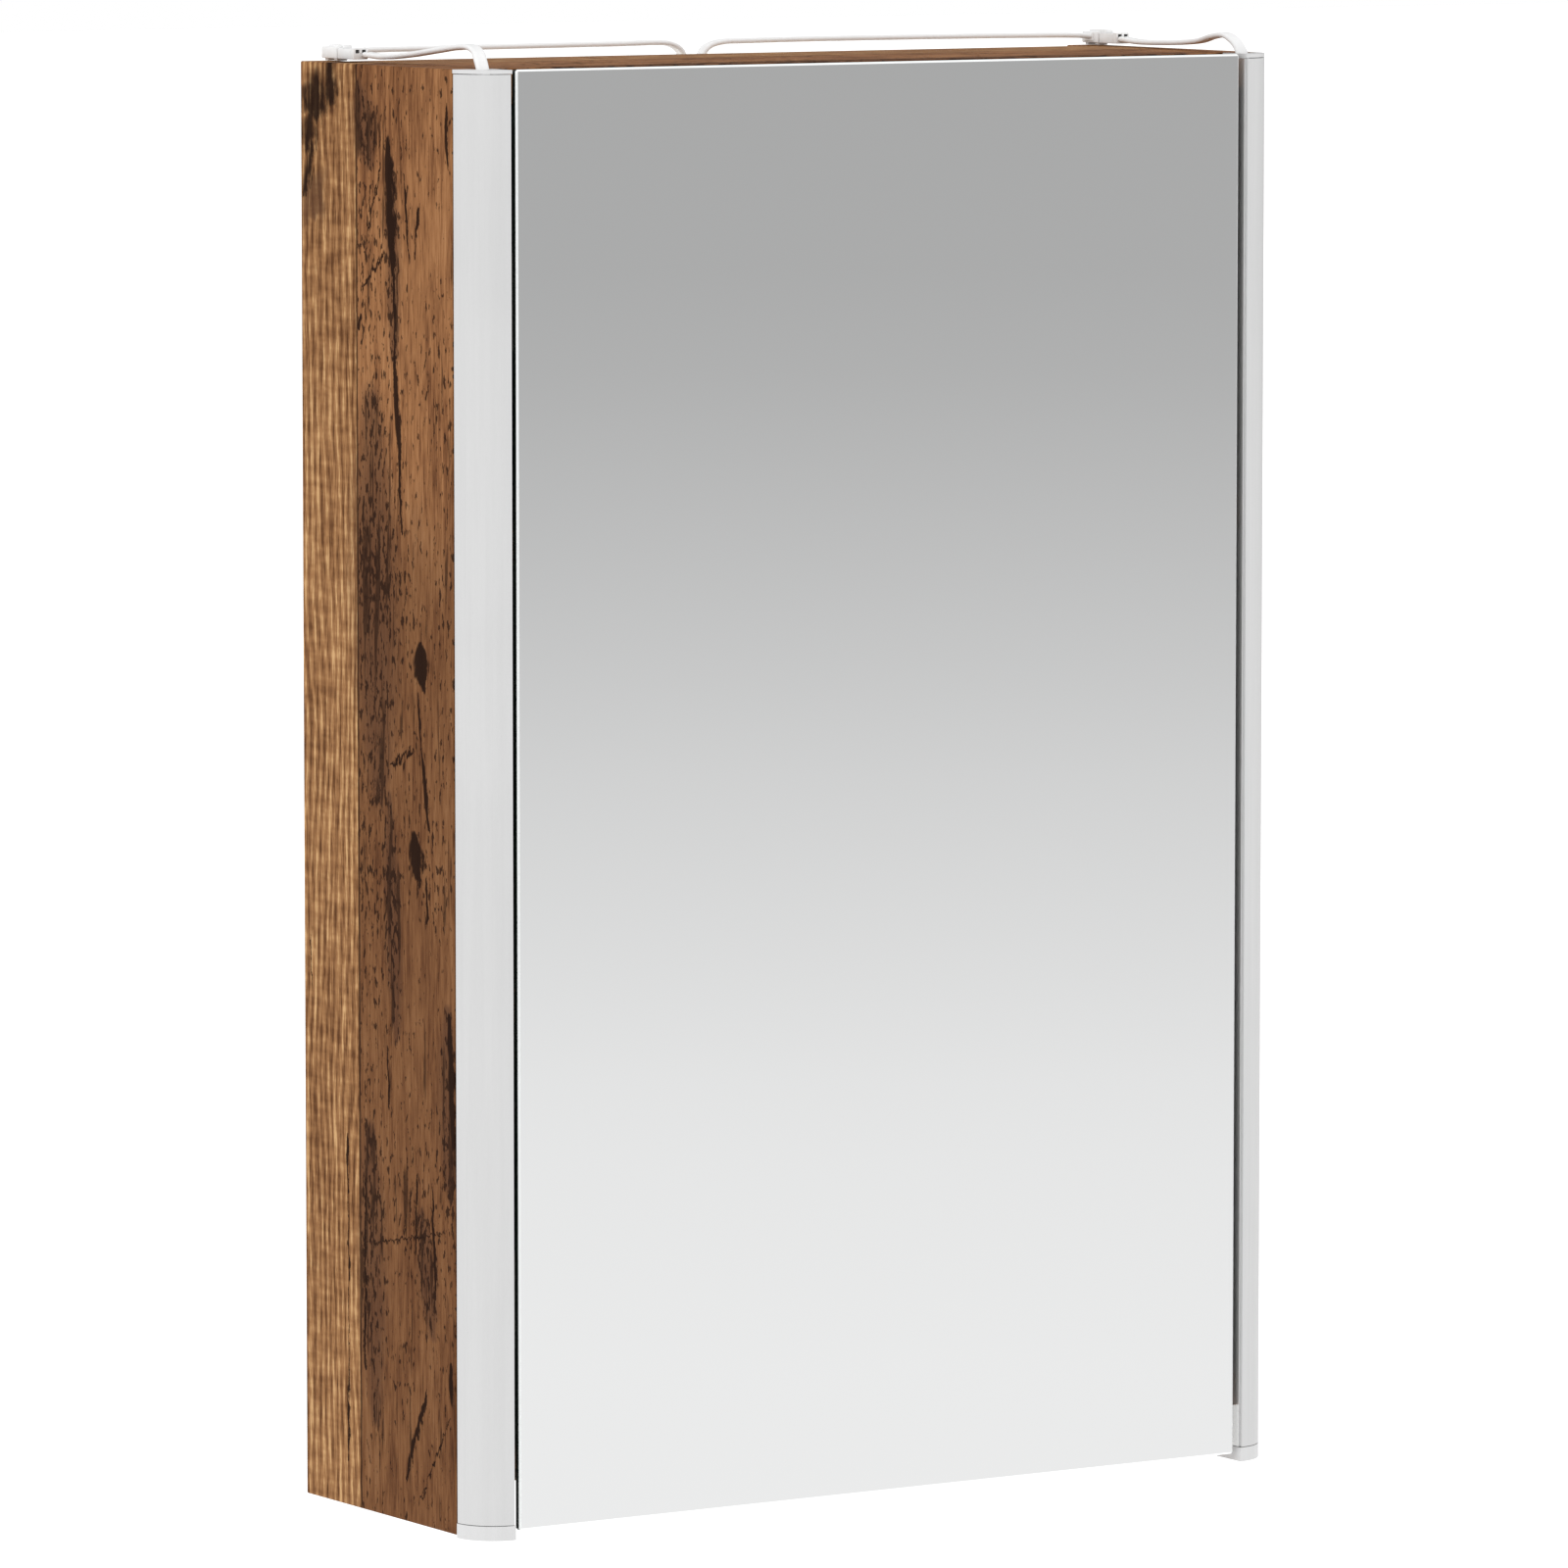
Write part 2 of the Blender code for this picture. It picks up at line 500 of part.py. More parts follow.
def build_door():
    """The mirror pane on its backing board, with bumpers and strike plate, turning about the hinges."""
    door = bpy.data.objects.new("door_axis", None)
    door.location = PIVOT
    bpy.context.scene.collection.objects.link(door)
    block("mirror_pane", (-PANE_HALF, PANE_FRONT, PANE_BOTTOM), (PANE_HALF, PANE_REAR, HEIGHT),
          "mirror", PANE_ARRIS, door)
    front = PANE_REAR + FIT
    rear = front + BACKING_THICK
    block("door_backing", (-PANE_HALF + BACKING_INSET_HINGE, front, PANE_BOTTOM + BACKING_INSET_END),
          (PANE_HALF - BACKING_INSET_FREE, rear, HEIGHT - BACKING_INSET_END), "wood", EDGE_ROUND, door)
    for level, z in board_levels().items():
        start = (PANE_HALF - BUMPER_FROM_EDGE, rear + FIT, z)
        rod(f"bumper_{level}", start, (0, 1, 0), BUMPER_RADIUS, BUMPER_THICK, "clear", door)
    strike_z = shelf_bottoms()[1] - STRIKE_BELOW_SHELF
    block("strike_plate", (INNER - STRIKE_INNER, rear + FIT, strike_z - STRIKE_HALF_HEIGHT),
          (INNER - STRIKE_OUTER, rear + FIT + STRIKE_THICK, strike_z + STRIKE_HALF_HEIGHT), "steel", 0, door)
    catch_front = -SIDE_DEPTH + CATCH_SETBACK
    block("magnet_catch", (INNER - CATCH_INNER, catch_front, strike_z - CATCH_BELOW_STRIKE),
          (INNER - CATCH_OUTER, catch_front + CATCH_DEPTH, shelf_bottoms()[1] - FIT), "white", CATCH_ROUND)
    for name, height in HINGE_HEIGHTS.items():
        build_hinge(name, height, door)


def main():
    """Build the whole cabinet."""
    clear_scene()
    build_boards()
    for side, sign in SIDES.items():
        build_side(side, sign)
        build_keyhole_plate(side, sign)
        build_fixings(side, sign)
        build_lamp(side, sign)
        build_wiring(side)
    build_driver()
    build_door()


main()
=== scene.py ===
"""Looks of a hanging mirror cabinet: old wood print, mirror door, opal LED lamps and their wiring."""
import logging
import math
import random
from dataclasses import dataclass, field
from enum import Enum
from typing import Any, Iterable, Sequence

import bmesh
import bpy
from mathutils import Matrix, Vector


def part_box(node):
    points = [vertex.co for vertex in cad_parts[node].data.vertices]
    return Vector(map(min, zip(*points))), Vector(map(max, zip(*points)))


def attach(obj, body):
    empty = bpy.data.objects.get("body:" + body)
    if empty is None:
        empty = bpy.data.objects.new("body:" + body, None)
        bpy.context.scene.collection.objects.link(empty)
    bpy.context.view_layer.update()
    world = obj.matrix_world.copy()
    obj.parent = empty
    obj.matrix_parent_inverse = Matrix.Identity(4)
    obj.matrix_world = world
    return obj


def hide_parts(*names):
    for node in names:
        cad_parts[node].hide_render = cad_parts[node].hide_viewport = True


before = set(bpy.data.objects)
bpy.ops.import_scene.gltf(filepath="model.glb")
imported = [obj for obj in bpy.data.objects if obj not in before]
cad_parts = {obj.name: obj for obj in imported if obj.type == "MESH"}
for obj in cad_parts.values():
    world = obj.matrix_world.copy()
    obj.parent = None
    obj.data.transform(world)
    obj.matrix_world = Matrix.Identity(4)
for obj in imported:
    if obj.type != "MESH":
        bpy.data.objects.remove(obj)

LOG = logging.getLogger("cabinet")
MM = 0.001
CARCASS = "carcass"
DOOR = "door"
SIDES = {"left": -1, "right": 1}
Colour = tuple[float, float, float]
Point = tuple[float, float, float]
Stroke = tuple[tuple[float, float], tuple[float, float], float]

# Route points of each lead, in millimetres, at the middle of its section
LAMP_LEAD_POINTS: dict[str, list[Point]] = {
    "left": [(-184.6, -30.4, 603.2), (-182.8, -42, 602.6), (-180.0, -57, 603.8), (-178.6, -74, 605.8),
             (-178.6, -92, 607.8), (-179.6, -104, 608.4), (-181.8, -114, 606.6), (-184.6, -121, 603.2),
             (-186.6, -126.4, 598.6), (-187.2, -128.6, 593.6)],
    "right": [(193.0, -30.4, 603.2), (192.4, -44, 602.4), (190.8, -62, 602.6), (189.2, -80, 603.2),
              (187.8, -96, 604.4), (187.2, -107, 606.6), (187.4, -116, 607.2), (188.0, -122.6, 604.0),
              (188.2, -126.6, 599.0), (188.2, -128.6, 593.6)],
}
SUPPLY_LEAD_POINTS: dict[str, list[Point]] = {
    "left": [(-183.6, -9.4, 603.8), (-170, -9.4, 604.3), (-130, -9.4, 604.5), (-80, -9.4, 604.7),
             (-50, -9.4, 604.8), (-32, -9.4, 605.0), (-25, -9.4, 604.4), (-20.2, -9.4, 602.0),
             (-18.2, -9.4, 598.0), (-17.8, -9.4, 592), (-17.8, -9.4, 575), (-17.8, -9.4, 540.4)],
    "right": [(189.1, -9.4, 604.0), (176, -9.4, 604.6), (130, -9.4, 605.0), (80, -9.4, 605.2),
              (40, -9.4, 605.2), (12, -9.4, 605.0), (1.6, -9.4, 604.8), (-5.4, -9.4, 603.2),
              (-8.8, -9.4, 599.8), (-9.9, -9.4, 594), (-10.0, -9.4, 575), (-10.0, -9.4, 540.4)],
}


class Run(Enum):
    """The way a board's grain runs, and the axis across it."""

    UPRIGHT = ("Z", "Y")
    LENGTHWISE = ("X", "Y")
    UPRIGHT_WIDE = ("Z", "X")


# ---------------------------------------------------------------- shader building

class Value:
    """A number socket that adds Math nodes when it is used in an expression."""

    def __init__(self, shader: "Shader", socket: bpy.types.NodeSocket) -> None:
        """Wrap a socket of a shader."""
        self.shader = shader
        self.socket = socket

    def math(self, operation: str, *others: Any) -> "Value":
        """Add a Math node.

        Args:
            operation: the Math node's operation.
            others: numbers or values after this one.

        Returns:
            The node's result.
        """
        node = self.shader.node("ShaderNodeMath", {"operation": operation}, dict(enumerate((self, *others))))
        return Value(self.shader, node.outputs[0])

    def __add__(self, other: Any) -> "Value":
        """Sum."""
        return self.math("ADD", other)

    __radd__ = __add__

    def __sub__(self, other: Any) -> "Value":
        """Difference."""
        return self.math("SUBTRACT", other)

    def __rsub__(self, other: Any) -> "Value":
        """Difference from a number."""
        return self.math("MULTIPLY", -1.0).math("ADD", other)

    def __mul__(self, other: Any) -> "Value":
        """Product."""
        return self.math("MULTIPLY", other)

    __rmul__ = __mul__

    def __truediv__(self, other: Any) -> "Value":
        """Quotient."""
        return self.math("DIVIDE", other)

    def __gt__(self, other: Any) -> "Value":
        """One where this value is the greater."""
        return self.math("GREATER_THAN", other)

    def __lt__(self, other: Any) -> "Value":
        """One where this value is the less."""
        return self.math("LESS_THAN", other)

    def __abs__(self) -> "Value":
        """Absolute value."""
        return self.math("ABSOLUTE")

    def largest(self, other: Any) -> "Value":
        """The greater of two values."""
        return self.math("MAXIMUM", other)

    def smallest(self, other: Any) -> "Value":
        """The less of two values."""
        return self.math("MINIMUM", other)

    def rise(self, low: float, high: float) -> "Value":
        """A smooth step from 0 at low to 1 at high."""
        node = self.shader.node("ShaderNodeMapRange", {"interpolation_type": "SMOOTHSTEP"},
                                {"Value": self, "From Min": low, "From Max": high})
        return Value(self.shader, node.outputs["Result"])

    def fall(self, low: float, high: float) -> "Value":
        """A smooth step from 1 at low to 0 at high."""
        return 1 - self.rise(low, high)


class Shader:
    """A Principled material and the nodes that feed it."""

    def __init__(self, name: str) -> None:
        """Make the material."""
        self.material = bpy.data.materials.new(name)
        self.material.use_nodes = True
        self.tree = self.material.node_tree
        self.surface = self.tree.nodes["Principled BSDF"]
        self._place: list[Value] = []

    def node(self, kind: str, settings: dict[str, Any] | None = None,
             inputs: dict[Any, Any] | None = None) -> bpy.types.Node:
        """Add a node.

        Args:
            kind: the node's type name.
            settings: properties that are set before the sockets; stops fills a colour ramp.
            inputs: values or links of its sockets, by name or number.

        Returns:
            The new node.
        """
        made = self.tree.nodes.new(kind)
        for key, value in (settings or {}).items():
            if key == "stops":
                ramp = made.color_ramp
                while len(ramp.elements) < len(value):
                    ramp.elements.new(0.5)
                for element, (position, colour) in zip(ramp.elements, value):
                    element.position = position
                    element.color = (*colour, 1)
            else:
                setattr(made, key, value)
        for key, value in (inputs or {}).items():
            self.feed(made.inputs[key], value)
        return made

    def feed(self, socket: bpy.types.NodeSocket, value: Any) -> None:
        """Link a value to a socket, or set the socket to a number or colour."""
        if isinstance(value, Value):
            value = value.socket
        if isinstance(value, bpy.types.NodeSocket):
            self.tree.links.new(value, socket)
        elif isinstance(value, tuple) and socket.type == "RGBA" and len(value) == 3:
            socket.default_value = (*value, 1)
        else:
            socket.default_value = value

    def place(self) -> list[Value]:
        """The X, Y and Z of Object coordinates."""
        if not self._place:
            source = self.node("ShaderNodeTexCoord")
            parts = self.node("ShaderNodeSeparateXYZ", None, {0: source.outputs["Object"]})
            self._place = [Value(self, parts.outputs[i]) for i in range(3)]
        return self._place

    def vector(self, x: Any, y: Any, z: Any = 0.0) -> bpy.types.NodeSocket:
        """A vector from three values."""
        return self.node("ShaderNodeCombineXYZ", None, {0: x, 1: y, 2: z}).outputs[0]

    def noise(self, vector: Any, scale: float = 1.0, detail: float = 3.0, roughness: float = 0.5) -> Value:
        """Noise from 0 to 1 at a vector."""
        node = self.node("ShaderNodeTexNoise", None,
                         {"Vector": vector, "Scale": scale, "Detail": detail, "Roughness": roughness})
        return Value(self, node.outputs["Fac"])

    def ramp(self, value: Value, stops: Sequence[tuple[float, Colour]]) -> bpy.types.NodeSocket:
        """A colour from a value."""
        return self.node("ShaderNodeValToRGB", {"stops": stops}, {"Fac": value}).outputs["Color"]

    def mix(self, factor: Any, first: Any, second: Any, blend: str = "MIX") -> bpy.types.NodeSocket:
        """Two colours blended by a factor."""
        node = self.node("ShaderNodeMix", {"data_type": "RGBA", "blend_type": blend, "clamp_factor": True},
                         {0: factor, 6: first, 7: second})
        return node.outputs[2]

    def finish(self, colour: Any, roughness: Any, metallic: Any = 0.0, bump: Any = None,
               bump_depth: float = 0.0, **fixed: float) -> bpy.types.Material:
        """Feed the Principled shader.

        Args:
            colour: base colour.
            roughness: roughness.
            metallic: metallic.
            bump: height from 0 to 1, or None.
            bump_depth: height in metres that 1 stands for.
            fixed: other sockets' constants, with underscores for spaces.

        Returns:
            The finished material.
        """
        self.feed(self.surface.inputs["Base Color"], colour)
        self.feed(self.surface.inputs["Roughness"], roughness)
        self.feed(self.surface.inputs["Metallic"], metallic)
        for key, value in fixed.items():
            self.surface.inputs[key.replace("_", " ")].default_value = value
        if bump is not None:
            inputs = {"Strength": 1.0, "Distance": bump_depth, "Height": bump}
            node = self.node("ShaderNodeBump", None, inputs)
            self.feed(self.surface.inputs["Normal"], node.outputs["Normal"])
        return self.material


# ---------------------------------------------------------------- finishes

@dataclass(frozen=True)
class OldWoodPrint:
    """Board faced with a print of two weathered planks: a tan one and a dark, cracked, red-brown one."""

    name: str
    run: Run
    seam: float
    tan_above: bool = True
    seed: int = 0
    strokes: tuple[Stroke, ...] = ()
    knots: tuple[Stroke, ...] = ()
    shades: tuple[Stroke, ...] = ()
    raw_edge: tuple[str, float] | None = None
    tan_stops: tuple = ((0.12, (0.108, 0.042, 0.014)), (0.42, (0.235, 0.108, 0.042)),
                        (0.66, (0.330, 0.165, 0.066)), (0.95, (0.56, 0.335, 0.155)))
    red_stops: tuple = ((0.10, (0.062, 0.022, 0.008)), (0.36, (0.165, 0.066, 0.025)),
                        (0.60, (0.280, 0.124, 0.048)), (0.92, (0.385, 0.190, 0.082)))
    black: Colour = (0.016, 0.006, 0.003)
    lower_tone: float = 1.0
    face: float = 0.0
    tone_step: tuple[float, float] = (380, 450)

    def segment(self, across: Value, along: Value, stroke: Stroke) -> Value:
        """How deep a place lies inside one crack or blot, which tapers toward both ends.

        Args:
            across: place across the grain.
            along: place along the grain.
            stroke: its two ends, in millimetres across and along, and its half width.

        Returns:
            One on its middle line, 0 at its edge and negative outside.
        """
        (ax, ay), (bx, by), width = stroke
        ax, ay, bx, by, width = (v * MM for v in (ax, ay, bx, by, width))
        dx, dy = bx - ax, by - ay
        length = max(dx * dx + dy * dy, 1e-9)
        px, py = across - ax, along - ay
        share = ((px * (dx / length)) + (py * (dy / length))).largest(0.0).smallest(1.0)
        off_x = px - share * dx
        off_y = py - share * dy
        distance = (off_x * off_x + off_y * off_y).math("SQRT")
        from_middle = share * 2 - 1
        return 1 - distance / (width * (1.2 - from_middle * from_middle * 0.75))

    def build(self) -> bpy.types.Material:
        """Make the material."""
        shader = Shader(self.name)
        axes = dict(zip("XYZ", shader.place()))
        along, across = (axes[letter] for letter in self.run.value)
        if self.run is Run.LENGTHWISE:
            across = across + axes["Z"] - self.face * MM
        seed = float(self.seed)
        wander = shader.noise(shader.vector(across * 18, along * 5, seed), 1, 2)
        ragged = shader.noise(shader.vector(across * 420, along * 130, seed + 3), 1, 4, 0.65)
        rough = shader.noise(shader.vector(across * 90, along * 38, seed + 5), 1, 3, 0.6)
        bent = across + (ragged - 0.5) * (4.2 * MM) + (rough - 0.5) * (5 * MM)
        drawn = along + (ragged - 0.5) * (10 * MM)

        rings = ((across + (wander - 0.5) * (26 * MM)) * (2 * math.pi / (4.9 * MM))).math("SINE")
        pores = shader.noise(shader.vector(across * 900, along * 75, seed + 9), 1, 3, 0.6)
        threads = shader.noise(shader.vector(across * 260, along * 16, seed + 11), 1, 5, 0.6)
        tint = shader.noise(shader.vector(across * 22, along * 7, seed + 13), 1, 3)
        waves = shader.noise(shader.vector(across * 60, along * 210, seed + 15), 1, 2)
        tan_level = rings * 0.12 + pores * 0.95 + threads * 0.62 + tint * 0.34 + waves * 0.42 - 0.66
        tan = shader.ramp((tan_level - 0.5) * 1.6 + 0.5, self.tan_stops)

        blotch = shader.noise(shader.vector(across * 30, along * 11, seed + 21), 1, 5, 0.6)
        fibre = shader.noise(shader.vector(across * 330, along * 24, seed + 23), 1, 5, 0.62)
        red_level = blotch * 0.70 + fibre * 0.75 + pores * 0.62 + tint * 0.22 - 0.60
        red = shader.ramp((red_level - 0.5) * 1.35 + 0.47, self.red_stops)

        is_tan = ((across + (rough - 0.5) * (1.0 * MM)) > self.seam * MM)
        if not self.tan_above:
            is_tan = 1 - is_tan
        grit = (ragged - 0.5) * 2.6 + (fibre - 0.5) * 2.2
        shade = blotch.rise(0.60, 0.78) * 0.5
        for stroke in self.shades:
            shade = shade.largest((self.segment(bent, drawn, stroke) + grit * 0.25).rise(-0.25, 0.75))
        speck_noise = shader.noise(shader.vector(across * 470, along * 170, seed + 31), 1, 3, 0.55)
        speck_field = shader.noise(shader.vector(across * 26, along * 12, seed + 33), 1, 3)
        specks = (speck_noise + (speck_field - 0.5) * 0.34 + shade * 0.085).rise(0.590, 0.655)
        cracks_noise = shader.noise(shader.vector(across * 260, along * 17, seed + 35), 1, 4, 0.6)
        cracks = (cracks_noise + (speck_field - 0.5) * 0.25 + shade * 0.10).rise(0.61, 0.68)
        dark = (specks * 0.88).largest(cracks * 0.72) * (1 - is_tan * 0.84)
        dark = dark.largest((pores + tint * 0.2).fall(0.36, 0.47) * 0.42)
        for stroke in self.strokes:
            dark = dark.largest((self.segment(bent, drawn, stroke) + grit * 0.55).rise(0.02, 0.42))
        for stroke in self.knots:
            dark = dark.largest((self.segment(bent, drawn, stroke) + grit * 0.6).rise(-0.1, 0.9))
        seam_line = abs(across + (ragged - 0.5) * (1.4 * MM) - self.seam * MM).fall(0.3 * MM, 1.0 * MM)
        dark = dark.largest(seam_line * 0.85)
        deep = along.fall(self.tone_step[0] * MM, self.tone_step[1] * MM) * (1 - self.lower_tone)
        red = shader.mix(deep, red, (0.055, 0.019, 0.007))
        colour = shader.mix(is_tan, red, tan)
        colour = shader.mix(shade * (0.35 + fibre * 0.6), colour, (0.085, 0.036, 0.018))
        colour = shader.mix(dark * 0.96, colour, self.black)
        bump = 0.6 * (1 - dark) + threads * 0.25 + pores * 0.15
        roughness = 0.52 + ragged * 0.14 + dark * 0.12
        if self.raw_edge is not None:
            axis, limit = self.raw_edge
            raw = axes[axis] > limit * MM
            chips = shader.noise(shader.vector(axes["X"] * 420, axes["Z"] * 420, axes["Y"] * 420), 1, 4, 0.7)
            core = shader.ramp(chips, ((0.3, (0.20, 0.115, 0.05)), (0.5, (0.46, 0.31, 0.16)),
                                       (0.7, (0.66, 0.50, 0.30))))
            colour = shader.mix(raw, colour, core)
            roughness = roughness + raw * 0.3
        return shader.finish(colour, roughness, 0.0, bump, 0.22 * MM, Specular_IOR_Level=0.03)


@dataclass(frozen=True)
class Moulded:
    """Moulded or extruded plastic, or a painted profile, with a slight drawn surface."""

    name: str
    colour: Colour
    roughness: float = 0.35
    drawn: float = 1.0
    coat: float = 0.0
    scale: float = 260.0

    def build(self) -> bpy.types.Material:
        """Make the material."""
        shader = Shader(self.name)
        x, y, z = shader.place()
        grain = shader.noise(shader.vector(x, y, z * (1 / self.drawn)), self.scale, 4, 0.6)
        cloud = shader.noise(shader.vector(x, y, z), 14, 2)
        darker = tuple(c * 0.93 for c in self.colour)
        colour = shader.mix(grain.rise(0.35, 0.65) * 0.4 + cloud.rise(0.4, 0.7) * 0.4, self.colour, darker)
        roughness = self.roughness + (grain - 0.5) * 0.16
        fixed = {"Coat_Weight": self.coat, "Coat_Roughness": 0.12}
        return shader.finish(colour, roughness, 0.0, grain, 0.015 * MM, **fixed)


@dataclass(frozen=True)
class BrushedSteel:
    """Nickel plated sheet steel with fine rolling marks."""

    name: str
    colour: Colour = (0.60, 0.585, 0.56)
    roughness: float = 0.27

    def build(self) -> bpy.types.Material:
        """Make the material."""
        shader = Shader(self.name)
        x, y, z = shader.place()
        marks = shader.noise(shader.vector(x * 90, y * 90, z * 2400), 1, 4, 0.6)
        cloud = shader.noise(shader.vector(x, y, z), 60, 3)
        darker = tuple(c * 0.72 for c in self.colour)
        colour = shader.mix(marks * 0.45 + cloud * 0.3, self.colour, darker)
        return shader.finish(colour, self.roughness + marks * 0.16, 1.0, marks, 0.01 * MM)


@dataclass(frozen=True)
class MirrorGlass:
    """Silvered float glass with a ground front arris, near-black edges that are painted shade for the dark gap
    beside the door, and a painted rear.
    """

    name: str
    low: Point
    high: Point
    arris: float = 0.8 * MM
    silver: Colour = (0.955, 0.96, 0.96)
    ground: Colour = (0.93, 0.95, 0.945)
    # painted shade: the glass edges are near black, standing for the shade deep in the narrow gap beside the
    # door
    edge: Colour = (0.006, 0.010, 0.008)
    paint: Colour = (0.24, 0.245, 0.25)

    def build(self) -> bpy.types.Material:
        """Make the material."""
        shader = Shader(self.name)
        x, y, z = shader.place()
        middle = [(a + b) / 2 for a, b in zip(self.low, self.high)]
        half = [(b - a) / 2 for a, b in zip(self.low, self.high)]
        rim_x = abs(x - middle[0]) - (half[0] - self.arris)
        rim_z = abs(z - middle[2]) - (half[2] - self.arris)
        rim = rim_x.largest(rim_z)
        cloud = shader.noise(shader.vector(x, y, z), 900, 3, 0.7)
        on_rim = rim.rise(-0.02 * MM, 0.02 * MM)
        behind = (y - (self.low[1] + self.arris)).rise(-0.02 * MM, 0.02 * MM)
        rear = (y - (self.high[1] - 0.05 * MM)).rise(-0.02 * MM, 0.0)
        colour = shader.mix(on_rim, self.silver, self.ground)
        # the side edges behind the arris get the near-black painted-shade colour, with slight cloud variation
        edge = shader.mix(cloud, self.edge, tuple(c * 1.5 for c in self.edge))
        colour = shader.mix(on_rim * behind, colour, edge)
        colour = shader.mix(rear, colour, shader.mix(cloud, self.paint, tuple(c * 0.85 for c in self.paint)))
        metallic = (1 - on_rim) * (1 - rear)
        smear = shader.noise(shader.vector(x * 6, y, z * 9), 1, 3)
        roughness = 0.004 + on_rim * 0.32 + rear * 0.45 + smear * 0.004
        return shader.finish(colour, roughness, metallic, Specular_IOR_Level=0.12)


@dataclass(frozen=True)
class BrightProfile:
    """White powder-coated lamp profile whose inner face, beside the door, is polished bare metal."""

    name: str
    inner: float = 181.05
    shine: float = 0.62
    bright: Colour = (0.80, 0.80, 0.79)
    white: Colour = (0.66, 0.66, 0.66)

    def build(self) -> bpy.types.Material:
        """Make the material."""
        shader = Shader(self.name)
        x, y, z = shader.place()
        marks = shader.noise(shader.vector(x * 400, y * 400, z * 12), 1, 4)
        polished = abs(x) < self.inner * MM
        colour = shader.mix(polished, self.white, shader.mix(marks * 0.12, self.bright, (0.62, 0.62, 0.61)))
        roughness = 0.32 - polished * 0.27 + marks * 0.03
        return shader.finish(colour, roughness, polished * self.shine)


@dataclass(frozen=True)
class LedBoard:
    """White circuit board with copper tracks under the mask."""

    name: str
    pitch: float = 16 * MM

    def build(self) -> bpy.types.Material:
        """Make the material."""
        shader = Shader(self.name)
        x, y, z = shader.place()
        cell = (z / self.pitch).math("FRACT")
        pads = (abs(cell - 0.5).fall(0.03, 0.05)) * (abs(abs(x) - 190 * MM).rise(2.2 * MM, 2.5 * MM))
        grain = shader.noise(shader.vector(x, y, z), 500, 3)
        colour = shader.mix(pads, (0.86, 0.86, 0.80), (0.62, 0.45, 0.20))
        colour = shader.mix(grain * 0.2, colour, (0.7, 0.7, 0.66))
        return shader.finish(colour, 0.42 + grain * 0.1, pads * 0.8, grain, 0.01 * MM)


@dataclass(frozen=True)
class Fibreboard:
    """Thin lacquered fibreboard, or raw beech, with soft fibres."""

    name: str
    light: Colour
    dark: Colour
    stretch: Point = (160.0, 160.0, 30.0)

    def build(self) -> bpy.types.Material:
        """Make the material."""
        shader = Shader(self.name)
        x, y, z = shader.place()
        fibres = shader.noise(shader.vector(*(v * s for v, s in zip((x, y, z), self.stretch))), 1, 5, 0.65)
        cloud = shader.noise(shader.vector(x, y, z), 9, 3)
        colour = shader.mix(fibres.rise(0.3, 0.7) * 0.6 + cloud * 0.35, self.light, self.dark)
        return shader.finish(colour, 0.5 + fibres * 0.2, 0.0, fibres, 0.03 * MM)


# ---------------------------------------------------------------- mesh building

def new_object(name: str, mesh: bpy.types.Mesh,
               material: bpy.types.Material | None = None) -> bpy.types.Object:
    """Link a new object with a mesh and its finish."""
    item = bpy.data.objects.new(name, mesh)
    bpy.context.scene.collection.objects.link(item)
    if material is not None:
        mesh.materials.clear()
        mesh.materials.append(material)
    return item


def settle(shape: bmesh.types.BMesh, name: str, smooth: float = 35.0) -> bpy.types.Mesh:
    """Close a bmesh into a mesh with outward normals and smooth shading.

    Args:
        shape: the shape, which is freed.
        name: the mesh's name.
        smooth: edges sharper than this angle in degrees stay sharp.

    Returns:
        The mesh.
    """
    bmesh.ops.remove_doubles(shape, verts=shape.verts, dist=0.00001)
    bmesh.ops.recalc_face_normals(shape, faces=shape.faces)
    mesh = bpy.data.meshes.new(name)
    shape.to_mesh(mesh)
    shape.free()
    mesh.shade_smooth()
    mesh.set_sharp_from_angle(angle=math.radians(smooth))
    return mesh


def add_block(shape: bmesh.types.BMesh, low: Point, high: Point, arris: float = 0.3 * MM,
              segments: int = 2) -> None:
    """Add a block with rounded edges to a shape."""
    made = bmesh.ops.create_cube(shape, size=1)["verts"]
    size = Vector(high) - Vector(low)
    bmesh.ops.scale(shape, vec=size, verts=made)
    bmesh.ops.translate(shape, vec=(Vector(low) + Vector(high)) / 2, verts=made)
    edges = list({edge for vert in made for edge in vert.link_edges})
    if arris:
        bmesh.ops.bevel(shape, geom=edges, offset=arris, segments=segments, profile=0.5, affect="EDGES")


def add_turned(shape: bmesh.types.BMesh, profile: Sequence[tuple[float, float]], place: Point,
               axis: Point = (0, 0, 1), steps: int = 24) -> None:
    """Add a turned form.

    Args:
        shape: the shape to add to.
        profile: radius and height of each ring, starting and ending on the axis.
        place: where height 0 of the axis is.
        axis: the axis's direction.
        steps: how many sides it has.
    """
    turn = Vector((0, 0, 1)).rotation_difference(Vector(axis)).to_matrix().to_4x4()
    move = Matrix.Translation(place) @ turn
    rings: list[list[bmesh.types.BMVert]] = []
    for radius, height in profile:
        if radius == 0:
            rings.append([shape.verts.new(move @ Vector((0, 0, height)))])
            continue
        angles = [2 * math.pi * i / steps for i in range(steps)]
        rings.append([shape.verts.new(move @ Vector((radius * math.cos(a), radius * math.sin(a), height)))
                      for a in angles])
    for first, second in zip(rings, rings[1:]):
        for i in range(steps):
            n = (i + 1) % steps
            corners = [first[i % len(first)], first[n % len(first)], second[n % len(second)],
                       second[i % len(second)]]
            shape.faces.new(list(dict.fromkeys(corners)))


